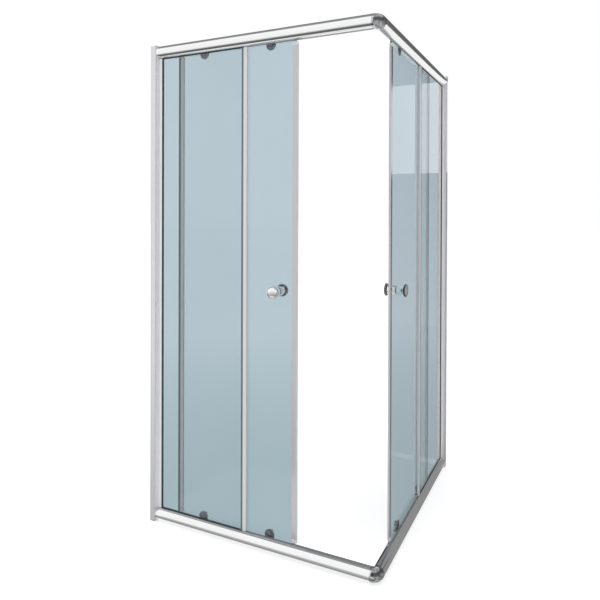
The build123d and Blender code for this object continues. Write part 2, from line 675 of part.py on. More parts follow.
def carrier(u):
    """Tongue with the bottom wheel's axle, a head that rests on the guide and a thumb tab."""
    half = TONGUE_WIDTH / 2
    guide_top = guide_low() + GUIDE_HEIGHT
    foot = BOTTOM_AXLE_Z - BOTTOM_WHEEL_RADIUS
    tongue = box(u - half, u + half, TONGUE_FRONT, TONGUE_BACK, foot, guide_top + SEAT)
    head = box(u - half - TONGUE, u + half + TONGUE, TONGUE_FRONT - TONGUE, TONGUE_BACK + TONGUE,
               guide_top + SEAT, guide_top + SEAT + TONGUE_HEAD)
    head = fillet(head.edges().filter_by(Axis.Z), TONGUE / 2)
    tab = box(u - half, u + half, TONGUE_FRONT, TONGUE_BACK + THUMB_TAB, foot, foot + TONGUE)
    tab = fillet(tab.edges().filter_by(Axis.Z).group_by(Axis.Y)[-1], TAB_ROUND)
    axle = rod(BOTTOM_AXLE_RADIUS, u, BOTTOM_AXLE_Z, HOLDER_BACK + SEAT, TONGUE_FRONT)
    return tongue + head + tab + axle


def wheel(radius, axle_radius, u, z):
    """Grooved wheel with a dished side round its hub."""
    bore = axle_radius + BORE_CLEARANCE
    hub = bore + WHEEL_HUB
    rim = radius - GROOVE_DEPTH - RIM
    groove = TRACK_THICKNESS / 2 + GROOVE_SIDE_GAP
    tread = radius - GROOVE_DEPTH
    near, far = WHEEL_FRONT, WHEEL_BACK
    profile = outline(
        (bore, near), (hub, near), (hub, near + WHEEL_DISH), (rim, near + WHEEL_DISH), (rim, near),
        (radius - BORE_CLEARANCE, near), (radius, near + BORE_CLEARANCE),
        (radius, TRACK_MIDDLE - groove), (tread, TRACK_MIDDLE - groove),
        (tread, TRACK_MIDDLE + groove), (radius, TRACK_MIDDLE + groove),
        (radius, far - BORE_CLEARANCE), (radius - BORE_CLEARANCE, far), (rim, far),
        (rim, far - WHEEL_DISH), (hub, far - WHEEL_DISH), (hub, far), (bore, far))
    return turned(profile, u, z)


def fixing_bolt(u, z):
    """Low-headed bolt from the outer side of the glass into the boss."""
    head = rod(BOLT_HEAD_RADIUS, u, z, DOOR_FACE - BOLT_HEAD, DOOR_FACE)
    head = fillet(head.edges().group_by(Axis.Y)[0], BOLT_HEAD / 2)
    return head + rod(BOLT_RADIUS, u, z, DOOR_FACE, HOLDER_BACK - SEAT)


def knob_profile():
    """Half outline of a knob, as (radius, distance from its base)."""
    body_start = KNOB_BASE + KNOB_GROOVE
    flare_start = KNOB_LENGTH - KNOB_END - (KNOB_END_RADIUS - KNOB_BODY_RADIUS)
    points = [(0, 0), (KNOB_BODY_RADIUS, 0), (KNOB_BODY_RADIUS, KNOB_BASE), (KNOB_NECK_RADIUS, KNOB_BASE),
              (KNOB_NECK_RADIUS, body_start), (KNOB_BODY_RADIUS, body_start), (KNOB_BODY_RADIUS, flare_start)]
    lines = Polyline(*points)
    rim_low = (KNOB_END_RADIUS, KNOB_LENGTH - KNOB_END)
    flare = TangentArc((KNOB_BODY_RADIUS, flare_start), rim_low, tangent=(0, 1))
    edge_start = (KNOB_END_RADIUS, KNOB_LENGTH - KNOB_EDGE)
    edge_end = (KNOB_END_RADIUS - KNOB_EDGE, KNOB_LENGTH)
    side = Line(rim_low, edge_start)
    edge = RadiusArc(edge_start, edge_end, -KNOB_EDGE)
    end = Polyline(edge_end, (0, KNOB_LENGTH), (0, 0))
    return make_face(lines + flare + side + edge + end)


def knob(outward):
    """Knob turned from a spool-shaped profile; outward tells which side of the glass."""
    profile = knob_profile() - rect(0, STUD_RADIUS + THREAD_CLEARANCE, 0, STUD_GRIP)
    base = DOOR_BACK + BUSH_FLANGE
    if outward:
        profile = mirror(profile, about=Plane.XZ)
        base = DOOR_FACE - BUSH_FLANGE
    return turned(Pos(0, base) * profile, KNOB_INSET, KNOB_HEIGHT)


def knob_bushes():
    """Clear flanged bushes in the knob hole, one from each side."""
    middle = (DOOR_FACE + DOOR_BACK) / 2
    bore = STUD_RADIUS + THREAD_CLEARANCE
    flange = KNOB_NECK_RADIUS
    front = rect(bore, flange, DOOR_FACE - BUSH_FLANGE, DOOR_FACE)
    front += rect(bore, BUSH_RADIUS, DOOR_FACE, middle)
    back = rect(bore, flange, DOOR_BACK, DOOR_BACK + BUSH_FLANGE)
    back += rect(bore, BUSH_RADIUS, middle, DOOR_BACK)
    return [turned(front, KNOB_INSET, KNOB_HEIGHT), turned(back, KNOB_INSET, KNOB_HEIGHT)]


def knob_stud():
    """Threaded stud that draws the two knobs together."""
    reach = BUSH_FLANGE + STUD_GRIP - SEAT
    return rod(STUD_RADIUS, KNOB_INSET, KNOB_HEIGHT, DOOR_FACE - reach, DOOR_BACK + reach)


def frame_nodes(face, place):
    """Nodes of one face that stay still."""
    return {
        f"wall_channel_{face}": place(wall_channel()),
        f"side_jamb_{face}": place(side_jamb()),
        f"top_rail_{face}": place(top_rail()),
        f"bottom_rail_{face}": place(bottom_rail()),
        f"fixed_glass_{face}": place(fixed_glass()),
        f"fixed_edge_profile_{face}": place(fixed_edge_profile()),
    }


def door_nodes(face, place):
    """Nodes of one door, at the opening it has in its rest position."""
    shift = Pos(SHUT_TIP + OPENINGS[face], 0, 0)

    def put(shape):
        return place(shift * shape)

    near, far = roller_places()
    bolts = [fixing_bolt(u, z) for u in (near, far) for z in (TOP_DISC_Z, BOTTOM_BOLT_Z)]
    nodes = {
        f"door_glass_{face}": put(door_glass()),
        f"leading_stile_{face}": put(leading_stile()),
        f"magnet_strip_{face}": put(magnet_strip()),
        f"stile_caps_{face}": group(put(stile_cap()), put(flipped(stile_cap()))),
        f"trailing_profile_{face}": put(trailing_profile()),
        f"top_hangers_{face}": group(put(hanger(near)), put(hanger(far))),
        f"bottom_holders_{face}": group(put(bottom_holder(near)), put(bottom_holder(far))),
        f"fixing_bolts_{face}": group(*[put(bolt) for bolt in bolts]),
        f"knob_outer_{face}": put(knob(True)),
        f"knob_inner_{face}": put(knob(False)),
        f"knob_bushes_{face}": group(*[put(bush) for bush in knob_bushes()]),
        f"knob_stud_{face}": put(knob_stud()),
    }
    for name, u in (("lead", near), ("trail", far)):
        nodes[f"carrier_{face}_{name}"] = put(carrier(u))
        nodes[f"top_wheel_{face}_{name}"] = put(wheel(TOP_WHEEL_RADIUS, TOP_AXLE_RADIUS, u, TOP_AXLE_Z))
        bottom = wheel(BOTTOM_WHEEL_RADIUS, BOTTOM_AXLE_RADIUS, u, BOTTOM_AXLE_Z)
        nodes[f"bottom_wheel_{face}_{name}"] = put(bottom)
    return nodes


def both_faces(*shapes):
    """The same pieces on the front face and on the side face, as one node."""
    return group(*[place(shape) for place in FACES.values() for shape in shapes])


def shared_nodes():
    """Elbows, rubber, stops and the small fixings of both faces."""
    stops = stop_places()
    return {
        "bottom_elbow": bottom_elbow(),
        "top_elbow": flipped(bottom_elbow()),
        "channel_caps": both_faces(channel_cap()),
        "jamb_gaskets": both_faces(jamb_gasket()),
        "rail_gaskets": both_faces(rail_gasket(), flipped(rail_gasket())),
        "slot_fillers": both_faces(slot_filler(), flipped(slot_filler())),
        "track_stops": both_faces(*[track_stop(u + way * BUFFER, way) for u, way in stops]),
        "stop_buffers": both_faces(*[track_buffer(u, way) for u, way in stops]),
        "jamb_screws": both_faces(*jamb_screws()),
        "screw_caps": both_faces(*screw_caps()),
        "rail_screws": both_faces(*rail_screws()),
        "elbow_screws": both_faces(*elbow_screws()),
    }


def main():
    """Build every node and write it to its own STEP file."""
    os.makedirs("parts", exist_ok=True)
    nodes = shared_nodes()
    for face, place in FACES.items():
        nodes.update(frame_nodes(face, place))
        nodes.update(door_nodes(face, place))
    for name, shape in nodes.items():
        export_step(shape, f"parts/{name}.step")
    print(f"{len(nodes)} nodes, door {DOOR_WIDTH:.1f} wide, travel {TRAVEL:.1f}, corner {CORNER:.1f}")


main()
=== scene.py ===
"""Looks of the corner entry shower door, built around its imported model.

Pieces are drawn in the frame of one face: u runs from the outer corner to the wall, d runs
inwards from the outer face and z runs up, all in metres. Copies are then carried to each face.
"""
import logging
from dataclasses import dataclass, field
from enum import Enum
from math import cos, pi, radians, sin
from typing import Callable, Iterable, Optional, Sequence

import bmesh
import bpy
from mathutils import Matrix, Vector


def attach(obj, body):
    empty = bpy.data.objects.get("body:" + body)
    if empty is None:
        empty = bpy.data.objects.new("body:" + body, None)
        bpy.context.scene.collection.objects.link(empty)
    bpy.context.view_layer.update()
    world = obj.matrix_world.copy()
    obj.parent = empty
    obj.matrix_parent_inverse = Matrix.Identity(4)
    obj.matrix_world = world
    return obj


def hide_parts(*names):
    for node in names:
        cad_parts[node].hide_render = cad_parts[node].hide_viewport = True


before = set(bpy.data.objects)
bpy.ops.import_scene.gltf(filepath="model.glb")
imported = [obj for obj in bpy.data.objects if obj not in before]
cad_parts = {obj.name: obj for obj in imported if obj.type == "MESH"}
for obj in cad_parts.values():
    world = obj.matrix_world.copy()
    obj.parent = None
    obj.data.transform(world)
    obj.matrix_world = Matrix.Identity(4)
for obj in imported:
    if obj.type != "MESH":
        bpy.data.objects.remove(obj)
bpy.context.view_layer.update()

Material = bpy.types.Material
Node = bpy.types.Node
Piece = bpy.types.Object
Socket = bpy.types.NodeSocket
Tree = bpy.types.NodeTree
Triple = tuple[float, float, float]
Pairs = tuple[tuple[float, float], ...]

log = logging.getLogger("shower_door")

# Sizes that several sub-assemblies share
CORNER = 0.47125
HEIGHT = 1.850
RAIL_HEIGHT = 0.050
NOSE = 0.025
CHAMBER_BACK = 0.0266
RAIL_START = 0.040
RAIL_END = 0.9245
LINE_RELIEF = 0.00004

# Limits for picking faces and edges
CLOSE = 1e-5
SAME = 1e-6
SQUARE_ON = 0.9


class Face(Enum):
    """The two glazed faces."""

    FRONT = "front"
    SIDE = "side"

    def matrix(self) -> Matrix:
        """Matrix from the face's own (u, d, z) frame to the row frame."""
        if self is Face.FRONT:
            return Matrix(((-1, 0, 0, CORNER), (0, 1, 0, -CORNER), (0, 0, 1, 0), (0, 0, 0, 1)))
        return Matrix(((0, -1, 0, CORNER), (1, 0, 0, -CORNER), (0, 0, 1, 0), (0, 0, 0, 1)))


# Each face's rollers, by end, with their place along the face
Places = dict[Face, dict[str, float]]


class Level(Enum):
    """Bottom rail or top rail; the top one is the bottom one turned over."""

    BOTTOM = "bottom"
    TOP = "top"


class Along(Enum):
    """Row axis that an extrusion runs along."""

    X = 0
    Y = 1
    Z = 2


# Making meshes

def deselect() -> None:
    """Clear the selection, which loading leaves full."""
    bpy.ops.object.select_all(action="DESELECT")


def activate(piece: Piece) -> None:
    """Select one piece alone and make it active.

    Args:
        piece: The piece to work on.
    """
    deselect()
    piece.select_set(True)
    bpy.context.view_layer.objects.active = piece


def fix_place(piece: Piece, name: str) -> Piece:
    """Name a new primitive and move its place into its mesh.

    Args:
        piece: The new primitive.
        name: Its name.

    Returns:
        The same object, with its origin at the row's origin.
    """
    activate(piece)
    bpy.ops.object.transform_apply(location=True, rotation=True, scale=True)
    piece.name = name
    piece.data.name = name
    return piece


def block(name: str, low: Sequence[float], high: Sequence[float]) -> Piece:
    """Add a block between two corners.

    Args:
        name: Name of the block.
        low: Its lowest corner.
        high: Its highest corner.

    Returns:
        The block.
    """
    deselect()
    middle = [(a + b) / 2 for a, b in zip(low, high)]
    bpy.ops.mesh.primitive_cube_add(size=1.0, location=middle)
    piece = bpy.context.active_object
    piece.scale = [b - a for a, b in zip(low, high)]
    return fix_place(piece, name)


def round_bar(name: str, radius: float, start: Sequence[float], end: Sequence[float],
              sides: int = 64) -> Piece:
    """Add a round bar between two points.

    Args:
        name: Name of the bar.
        radius: Its radius.
        start: Middle of its first end.
        end: Middle of its second end.
        sides: Number of faces round it.

    Returns:
        The bar.
    """
    deselect()
    a, b = Vector(start), Vector(end)
    turn = (b - a).to_track_quat("Z", "Y").to_euler()
    bpy.ops.mesh.primitive_cylinder_add(vertices=sides, radius=radius, depth=(b - a).length,
                                        location=(a + b) / 2, rotation=turn)
    return fix_place(bpy.context.active_object, name)


def pick_where(piece: Piece, kind: str, test: Callable[[object], bool]) -> None:
    """In edit mode, select the faces or edges that pass a test and nothing else.

    Args:
        piece: The piece in edit mode.
        kind: FACE or EDGE.
        test: Says yes or no to a face or edge.
    """
    bpy.ops.mesh.select_all(action="DESELECT")
    bpy.ops.mesh.select_mode(type=kind)
    mesh = bmesh.from_edit_mesh(piece.data)
    for item in mesh.faces if kind == "FACE" else mesh.edges:
        if test(item):
            item.select_set(True)
    bmesh.update_edit_mesh(piece.data)


def pick(piece: Piece, test: Callable[[Vector, Vector], bool]) -> None:
    """In edit mode, select faces by their middle and their normal.

    Args:
        piece: The piece in edit mode.
        test: Says yes or no to a face's middle and its normal.
    """
    pick_where(piece, "FACE", lambda item: test(item.calc_center_median(), item.normal))


def pick_edges(piece: Piece, test: Callable[[Vector, Vector], bool]) -> None:
    """In edit mode, select edges by their two ends.

    Args:
        piece: The piece in edit mode.
        test: Says yes or no to an edge's two ends.
    """
    pick_where(piece, "EDGE", lambda item: test(item.verts[0].co, item.verts[1].co))


def edit(piece: Piece) -> None:
    """Open one piece in edit mode.

    Args:
        piece: The piece to shape.
    """
    activate(piece)
    bpy.ops.object.mode_set(mode="EDIT")


def done() -> None:
    """Leave edit mode."""
    bpy.ops.object.mode_set(mode="OBJECT")


def push(distance: float) -> None:
    """In edit mode, extrude what is selected inwards.

    Args:
        distance: How far.
    """
    bpy.ops.mesh.extrude_region_move(TRANSFORM_OT_translate={"value": (0, distance, 0)})


def inset(*steps: tuple[float, float]) -> None:
    """In edit mode, inset the selected faces step by step.

    Args:
        steps: Width and depth of each step.
    """
    for width, depth in steps:
        bpy.ops.mesh.inset(thickness=width, depth=depth)


def slice_at(point: Sequence[float], normal: Sequence[float], **settings: bool) -> None:
    """In edit mode, cut all faces along a plane.

    Args:
        point: A point of the plane.
        normal: Its normal.
        settings: What is filled and what is cleared.
    """
    bpy.ops.mesh.select_all(action="SELECT")
    bpy.ops.mesh.bisect(plane_co=point, plane_no=normal, **settings)


def round_edges(piece: Piece, test: Callable[[Vector, Vector], bool], width: float, segments: int) -> None:
    """Round the edges whose two ends pass a test.

    Args:
        piece: The piece to shape.
        test: Says yes or no to an edge's two ends.
        width: Width of the rounding.
        segments: Faces across it.
    """
    edit(piece)
    pick_edges(piece, test)
    bpy.ops.mesh.bevel(offset=width, segments=segments)
    done()


def apply_modifier(piece: Piece, kind: str, **settings: object) -> None:
    """Add a modifier and apply it.

    Args:
        piece: The piece to change.
        kind: The modifier's type, in capitals.
        settings: Its settings.
    """
    activate(piece)
    added = piece.modifiers.new(kind.lower(), kind)
    for key, value in settings.items():
        setattr(added, key, value)
    bpy.ops.object.modifier_apply(modifier=added.name)


def soften(piece: Piece, width: float, segments: int = 2, angle: float = 40.0) -> None:
    """Round every edge sharper than an angle.

    Args:
        piece: The piece to soften.
        width: Width of the rounding.
        segments: Faces across it.
        angle: Smallest angle in degrees that counts as an edge.
    """
    apply_modifier(piece, "BEVEL", width=width, segments=segments, limit_method="ANGLE",
                   angle_limit=radians(angle), harden_normals=False)


def cut(piece: Piece, *tools: Piece) -> None:
    """Cut tools out of a piece and remove them.

    Args:
        piece: The piece to cut.
        tools: The solids to take away.
    """
    for tool in tools:
        apply_modifier(piece, "BOOLEAN", operation="DIFFERENCE", solver="EXACT", object=tool)
        bpy.data.objects.remove(tool)


def join(name: str, *pieces: Piece) -> Piece:
    """Join pieces into one object.

    Args:
        name: Name of the joined piece.
        pieces: The pieces, the first of which is kept.

    Returns:
        The joined piece.
    """
    deselect()
    for piece in pieces:
        piece.select_set(True)
    bpy.context.view_layer.objects.active = pieces[0]
    if len(pieces) > 1:
        bpy.ops.object.join()
    pieces[0].name = name
    pieces[0].data.name = name
    return pieces[0]


def tidy_mesh(piece: Piece) -> None:
    """Merge doubled points and turn the faces outwards.

    Args:
        piece: The piece to clean.
    """
    edit(piece)
    bpy.ops.mesh.select_all(action="SELECT")
    bpy.ops.mesh.remove_doubles(threshold=SAME)
    bpy.ops.mesh.normals_make_consistent(inside=False)
    done()


def smooth(piece: Piece, angle: float = 30.0) -> None:
    """Shade a piece smooth up to an angle in degrees.

    Args:
        piece: The piece to shade.
        angle: Edges sharper than this stay sharp.
    """
    activate(piece)
    bpy.ops.object.shade_smooth_by_angle(angle=radians(angle), keep_sharp_edges=True)


def copy_of(piece: Piece, name: str, matrix: Matrix) -> Piece:
    """Copy a finished piece with its own mesh, moved by a matrix.

    Args:
        piece: The piece to copy.
        name: Name of the copy.
        matrix: Move applied to the copy's mesh.

    Returns:
        The copy, its faces pointing outwards even when the matrix mirrors it.
    """
    twin = piece.copy()
    twin.data = piece.data.copy()
    twin.name = name
    twin.data.name = name
    bpy.context.scene.collection.objects.link(twin)
    move_mesh(twin, matrix)
    return twin


def move_mesh(piece: Piece, matrix: Matrix) -> None:
    """Move a piece's mesh and keep its faces outwards.

    Args:
        piece: The piece to move.
        matrix: The move, which may mirror.
    """
    piece.data.transform(matrix)
    if matrix.determinant() < 0:
        piece.data.flip_normals()
    piece.data.update()


def turn_over() -> Matrix:
    """Matrix that mirrors a bottom piece to the top."""
    return Matrix(((1, 0, 0, 0), (0, 1, 0, 0), (0, 0, -1, HEIGHT), (0, 0, 0, 1)))


def shift(u: float, z: float = 0.0) -> Matrix:
    """Matrix that moves a piece along its face and up.

    Args:
        u: Distance along the face.
        z: Distance up.

    Returns:
        The matrix.
    """
    return Matrix.Translation((u, 0, z))


def repeat(pattern: Piece, name: str, places: Iterable[Matrix]) -> Piece:
    """Copy a finished piece to one or more places and join the copies.

    Args:
        pattern: The piece that repeats.
        name: Name of the result.
        places: One matrix for each copy.

    Returns:
        The copies as one piece.
    """
    copies = [copy_of(pattern, f"{name}_{index}", matrix) for index, matrix in enumerate(places)]
    return join(name, *copies)


def discard(*patterns: Piece) -> None:
    """Remove pieces that were only modelled to be copied.

    Args:
        patterns: The pieces.
    """
    for pattern in patterns:
        bpy.data.objects.remove(pattern)


# Node groups shared by the finishes

def fill(tree: Tree, target: Socket, value: object) -> None:
    """Link a socket to an input, or set the input to a plain value.

    Args:
        tree: Node tree that holds the input.
        target: The input.
        value: A socket or a plain value.
    """
    if isinstance(value, Socket):
        tree.links.new(value, target)
    else:
        target.default_value = value


def feed(tree: Tree, node: Node, **inputs: object) -> None:
    """Link or set a node's inputs by name.

    Args:
        tree: Node tree that holds the node.
        node: The node.
        inputs: Input name, with underscores for spaces, and what it gets.
    """
    for key, value in inputs.items():
        fill(tree, node.inputs[key.replace("_", " ")], value)


def add_node(tree: Tree, kind: str, **inputs: object) -> Node:
    """Add a shader node and feed its inputs.

    Args:
        tree: Node tree to add to.
        kind: The node's type, without its prefix.
        inputs: Input name, with underscores for spaces, and what it gets.

    Returns:
        The node.
    """
    made = tree.nodes.new(f"ShaderNode{kind}")
    feed(tree, made, **inputs)
    return made


def math_node(tree: Tree, operation: str, a: object, b: object) -> Socket:
    """Add a math node with two inputs, each a socket or a number.

    Args:
        tree: Node tree to add to.
        operation: The operation, in capitals.
        a: First input.
        b: Second input.

    Returns:
        The result socket.
    """
    made = add_node(tree, "Math")
    made.operation = operation
    for target, value in zip(made.inputs, (a, b)):
        fill(tree, target, value)
    return made.outputs[0]


def remap(tree: Tree, value: Socket, low: float, high: float, to_low: object, to_high: object) -> Socket:
    """Map a value from one range to another, clamped.

    Args:
        tree: Node tree to add to.
        value: The value to map.
        low: Start of the range it comes from.
        high: End of the range it comes from.
        to_low: Start of the range it goes to, a number or a socket.
        to_high: End of the range it goes to, a number or a socket.

    Returns:
        The result socket.
    """
    return add_node(tree, "MapRange", Value=value, From_Min=low, From_Max=high, To_Min=to_low,
                    To_Max=to_high).outputs["Result"]


def noise(tree: Tree, vector: Socket, scale: object, detail: float = 2.0, rough: float = 0.5) -> Socket:
    """Add a noise texture.

    Args:
        tree: Node tree to add to.
        vector: Where the noise is read.
        scale: Its scale, a number or a socket.
        detail: Number of finer layers.
        rough: Strength of the finer layers.

    Returns:
        The noise's factor.
    """
    made = add_node(tree, "TexNoise", Vector=vector, Scale=scale, Detail=detail, Roughness=rough)
    return made.outputs["Fac"]


def mix_colours(tree: Tree, factor: Socket, a: object, b: object) -> Socket:
    """Mix two colours, each a socket or a plain colour with its alpha.

    Args:
        tree: Node tree to add to.
        factor: Share of the second colour.
        a: First colour.
        b: Second colour.

    Returns:
        The mixed colour.
    """
    made = add_node(tree, "Mix")
    made.data_type = "RGBA"
    feed(tree, made, Factor=factor, A=a, B=b)
    return made.outputs["Result"]


@dataclass(frozen=True)
class Effects:
    """Names of the node groups that several finishes share."""

    die_lines: str = "die_lines"
    soft_patches: str = "soft_patches"
    moulded_grain: str = "moulded_grain"
    water_film: str = "water_film"
    grain_tone: float = 0.12

    def build(self) -> None:
        """Build every shared node group once."""
        self.build_die_lines()
        self.build_soft_patches()
        self.build_moulded_grain()
        self.build_water_film()

    def start(self, name: str, inputs: dict[str, float],
              outputs: Iterable[str]) -> tuple[Tree, Sequence[Socket], Node]:
        """Start a node group that takes a vector and numbers and gives numbers.

        Args:
            name: Name of the group.
            inputs: Name and start value of each number that it takes.
            outputs: Name of each number that it gives.

        Returns:
            The group, the sockets that it takes and its output node.
        """
        group = bpy.data.node_groups.new(name, "ShaderNodeTree")
        add = group.interface.new_socket
        add(name="Vector", in_out="INPUT", socket_type="NodeSocketVector")
        for label, value in inputs.items():
            add(name=label, in_out="INPUT", socket_type="NodeSocketFloat").default_value = value
        for label in outputs:
            add(name=label, in_out="OUTPUT", socket_type="NodeSocketFloat")
        return group, group.nodes.new("NodeGroupInput").outputs, group.nodes.new("NodeGroupOutput")

    def spread(self, group: Tree, given: Sequence[Socket], rough: Socket, swing: Socket,
               tone_spread: object) -> dict[str, Socket]:
        """Roughness above its base value, and tone about one.

        Args:
            group: The group.
            given: The sockets that it takes.
            rough: What the roughness follows.
            swing: What the tone follows.
            tone_spread: How far the tone goes.

        Returns:
            Both sockets, by output name.
        """
        rough = math_node(group, "MULTIPLY", rough, given["Roughness Spread"])
        tone = math_node(group, "MULTIPLY", swing, tone_spread)
        return {"Roughness": math_node(group, "ADD", given["Base Roughness"], rough),
                "Tone": math_node(group, "ADD", 1.0, tone)}

    def build_die_lines(self) -> None:
        """Fine straight lines that a die leaves along an extrusion."""
        group, given, result = self.start(
            self.die_lines,
            {"Pitch": 900.0, "Base Roughness": 0.2, "Roughness Spread": 0.08, "Tone Spread": 0.04},
            ("Height", "Roughness", "Tone"))
        fine = noise(group, given["Vector"], given["Pitch"], detail=3.0, rough=0.6)
        broad_pitch = math_node(group, "MULTIPLY", given["Pitch"], 0.12)
        broad = noise(group, given["Vector"], broad_pitch, detail=1.0)
        mixed = math_node(group, "ADD", math_node(group, "MULTIPLY", fine, 0.7),
                          math_node(group, "MULTIPLY", broad, 0.3))
        swing = math_node(group, "SUBTRACT", mixed, 0.5)
        feed(group, result, Height=mixed, **self.spread(group, given, swing, swing, given["Tone Spread"]))

    def build_soft_patches(self) -> None:
        """Broad, faint changes of tone and roughness, as handling and polishing leave."""
        group, given, result = self.start(
            self.soft_patches,
            {"Scale": 6.0, "Base Roughness": 0.1, "Roughness Spread": 0.06, "Tone Spread": 0.05},
            ("Roughness", "Tone"))
        broad = noise(group, given["Vector"], given["Scale"], detail=4.0, rough=0.55)
        mask = remap(group, broad, 0.35, 0.65, 0.0, 1.0)
        swing = math_node(group, "SUBTRACT", mask, 0.5)
        feed(group, result, **self.spread(group, given, mask, swing, given["Tone Spread"]))

    def build_moulded_grain(self) -> None:
        """Fine pebbled grain of moulded plastic and rubber."""
        group, given, result = self.start(
            self.moulded_grain, {"Scale": 1500.0, "Base Roughness": 0.4, "Roughness Spread": 0.1},
            ("Height", "Roughness", "Tone"))
        cells = add_node(group, "TexVoronoi", Vector=given["Vector"], Scale=given["Scale"])
        cells.feature = "SMOOTH_F1"
        swing = math_node(group, "SUBTRACT", noise(group, given["Vector"], 40.0, detail=3.0), 0.5)
        feed(group, result, Height=cells.outputs["Distance"],
             **self.spread(group, given, swing, swing, self.grain_tone))

    def build_water_film(self) -> None:
        """Thin film that water leaves on glass, heavier towards the foot of the pane."""
        group, given, result = self.start(
            self.water_film, {"Amount": 0.5, "Clean Roughness": 0.01, "Film Roughness": 0.06}, ("Roughness",))
        height = add_node(group, "SeparateXYZ", Vector=given["Vector"]).outputs["Z"]
        foot = remap(group, height, 0.0, 0.9, 1.0, 0.15)
        drawn_out = add_node(group, "Mapping", Scale=(9.0, 9.0, 1.6), Vector=given["Vector"])
        streaks = noise(group, drawn_out.outputs["Vector"], 2.2, detail=5.0, rough=0.6)
        runs = remap(group, streaks, 0.42, 0.72, 0.0, 1.0)
        mask = math_node(group, "MULTIPLY", math_node(group, "MULTIPLY", runs, foot), given["Amount"])
        rough = remap(group, mask, 0.0, 1.0, given["Clean Roughness"], given["Film Roughness"])
        feed(group, result, Roughness=rough)


EFFECTS = Effects()


class Painter:
    """A new material, its surface shader and a few ways to feed it."""

    def __init__(self, name: str) -> None:
        """Start a material with nothing but a surface shader.

        Args:
            name: Name of the material.
        """
        self.material = bpy.data.materials.new(name)
        self.material.use_nodes = True
        self.tree = self.material.node_tree
        self.shader = self.tree.nodes["Principled BSDF"]
        self.coordinates = add_node(self.tree, "TexCoord").outputs
        self.place = self.coordinates["Object"]

    def set(self, **values: object) -> None:
        """Feed the surface shader.

        Args:
            values: Input name, with underscores for spaces, and what it gets.
        """
        feed(self.tree, self.shader, **values)

    def finish(self, surface: Socket) -> Material:
        """Make another shader the surface.

        Args:
            surface: The shader's output.

        Returns:
            The material.
        """
        feed(self.tree, self.tree.nodes["Material Output"], Surface=surface)
        return self.material

    def group(self, name: str, vector: Optional[Socket] = None, **values: float) -> Node:
        """Place a shared node group with this material's own values.

        Args:
            name: Name of the group.
            vector: Where it is read; object coordinates when left out.
            values: Input name, with underscores for spaces, and value.

        Returns:
            The group's node.
        """
        made = add_node(self.tree, "Group")
        made.node_tree = bpy.data.node_groups[name]
        feed(self.tree, made, Vector=vector or self.place, **values)
        return made

    def patches(self, scale: float, tone: float, rough: float = 0.0, base: float = 0.0) -> Node:
        """Place the soft patches.

        Args:
            scale: Their scale.
            tone: How far the tone goes.
            rough: How far the roughness goes.
            base: Least roughness.

        Returns:
            The group's node.
        """
        return self.group(EFFECTS.soft_patches, Scale=scale, Base_Roughness=base, Roughness_Spread=rough,
                          Tone_Spread=tone)

    def stretched(self, along: Along, squeeze: float = 0.01) -> Socket:
        """Object coordinates squeezed along one axis, for lines that run that way.

        Args:
            along: Axis the lines run along.
            squeeze: Scale along that axis.

        Returns:
            The mapped coordinates.
        """
        scale = [1.0, 1.0, 1.0]
        scale[along.value] = squeeze
        return add_node(self.tree, "Mapping", Scale=scale, Vector=self.place).outputs["Vector"]

    def tinted(self, colour: Sequence[float], *effects: Node) -> Socket:
        """Multiply a colour by the tones of effects.

        Args:
            colour: The plain colour.
            effects: Nodes that give a tone near one.

        Returns:
            The resulting colour.
        """
        result = effects[0].outputs["Tone"]
        for effect in effects[1:]:
            result = math_node(self.tree, "MULTIPLY", result, effect.outputs["Tone"])
        made = add_node(self.tree, "VectorMath")
        made.operation = "SCALE"
        made.inputs[0].default_value = colour
        feed(self.tree, made, Scale=result)
        return made.outputs["Vector"]

    def coat(self, colour: Sequence[float], *effects: Node) -> None:
        """Feed the shader a tinted colour and the sum of the effects' roughness.

        Args:
            colour: The plain colour.
            effects: Nodes that give a tone and a roughness.
        """
        rough = effects[0].outputs["Roughness"]
        for effect in effects[1:]:
            rough = math_node(self.tree, "ADD", rough, effect.outputs["Roughness"])
        self.set(Base_Color=self.tinted(colour, *effects), Roughness=rough)

    def bump(self, height: Socket, strength: float, distance: float) -> None:
        """Feed a height to the shader's normal.

        Args:
            height: The height.
            strength: Strength of the bump.
            distance: Its depth in metres.
        """
        made = add_node(self.tree, "Bump", Strength=strength, Distance=distance, Height=height)
        self.set(Normal=made.outputs["Normal"])


@dataclass(frozen=True)
class DrawnAluminium:
    """Bright or satin aluminium extrusion with die lines along its length."""

    name: str
    along: Along
    colour: Triple = (0.86, 0.87, 0.885)
    roughness: float = 0.12
    line_depth: float = 0.15
    metallic: float = 1.0

    def make(self) -> Material:
        """Build the material."""
        paint = Painter(self.name)
        lines = paint.group(EFFECTS.die_lines, paint.stretched(self.along), Pitch=1400.0,
                            Base_Roughness=self.roughness, Roughness_Spread=0.10, Tone_Spread=0.05)
        paint.coat(self.colour, lines, paint.patches(scale=5.0, tone=0.03, rough=0.03))
        paint.set(Metallic=self.metallic)
        paint.bump(lines.outputs["Height"], self.line_depth, LINE_RELIEF)
        return paint.material


@dataclass(frozen=True)
class ChromePlate:
    """Polished chrome plate with faint polishing patches."""

    name: str
    colour: Triple = (0.80, 0.815, 0.83)
    roughness: float = 0.035
    mottle: float = 0.05
    patch_scale: float = 45.0
    ripple: float = 0.10
    ripple_scale: float = 160.0
    ripple_relief: float = 0.00005

    def make(self) -> Material:
        """Build the material."""
        paint = Painter(self.name)
        patches = paint.patches(scale=self.patch_scale, tone=self.mottle, rough=0.05, base=self.roughness)
        paint.coat(self.colour, patches)
        paint.set(Metallic=1.0)
        waves = noise(paint.tree, paint.place, self.ripple_scale, detail=1.0)
        paint.bump(waves, self.ripple, self.ripple_relief)
        return paint.material


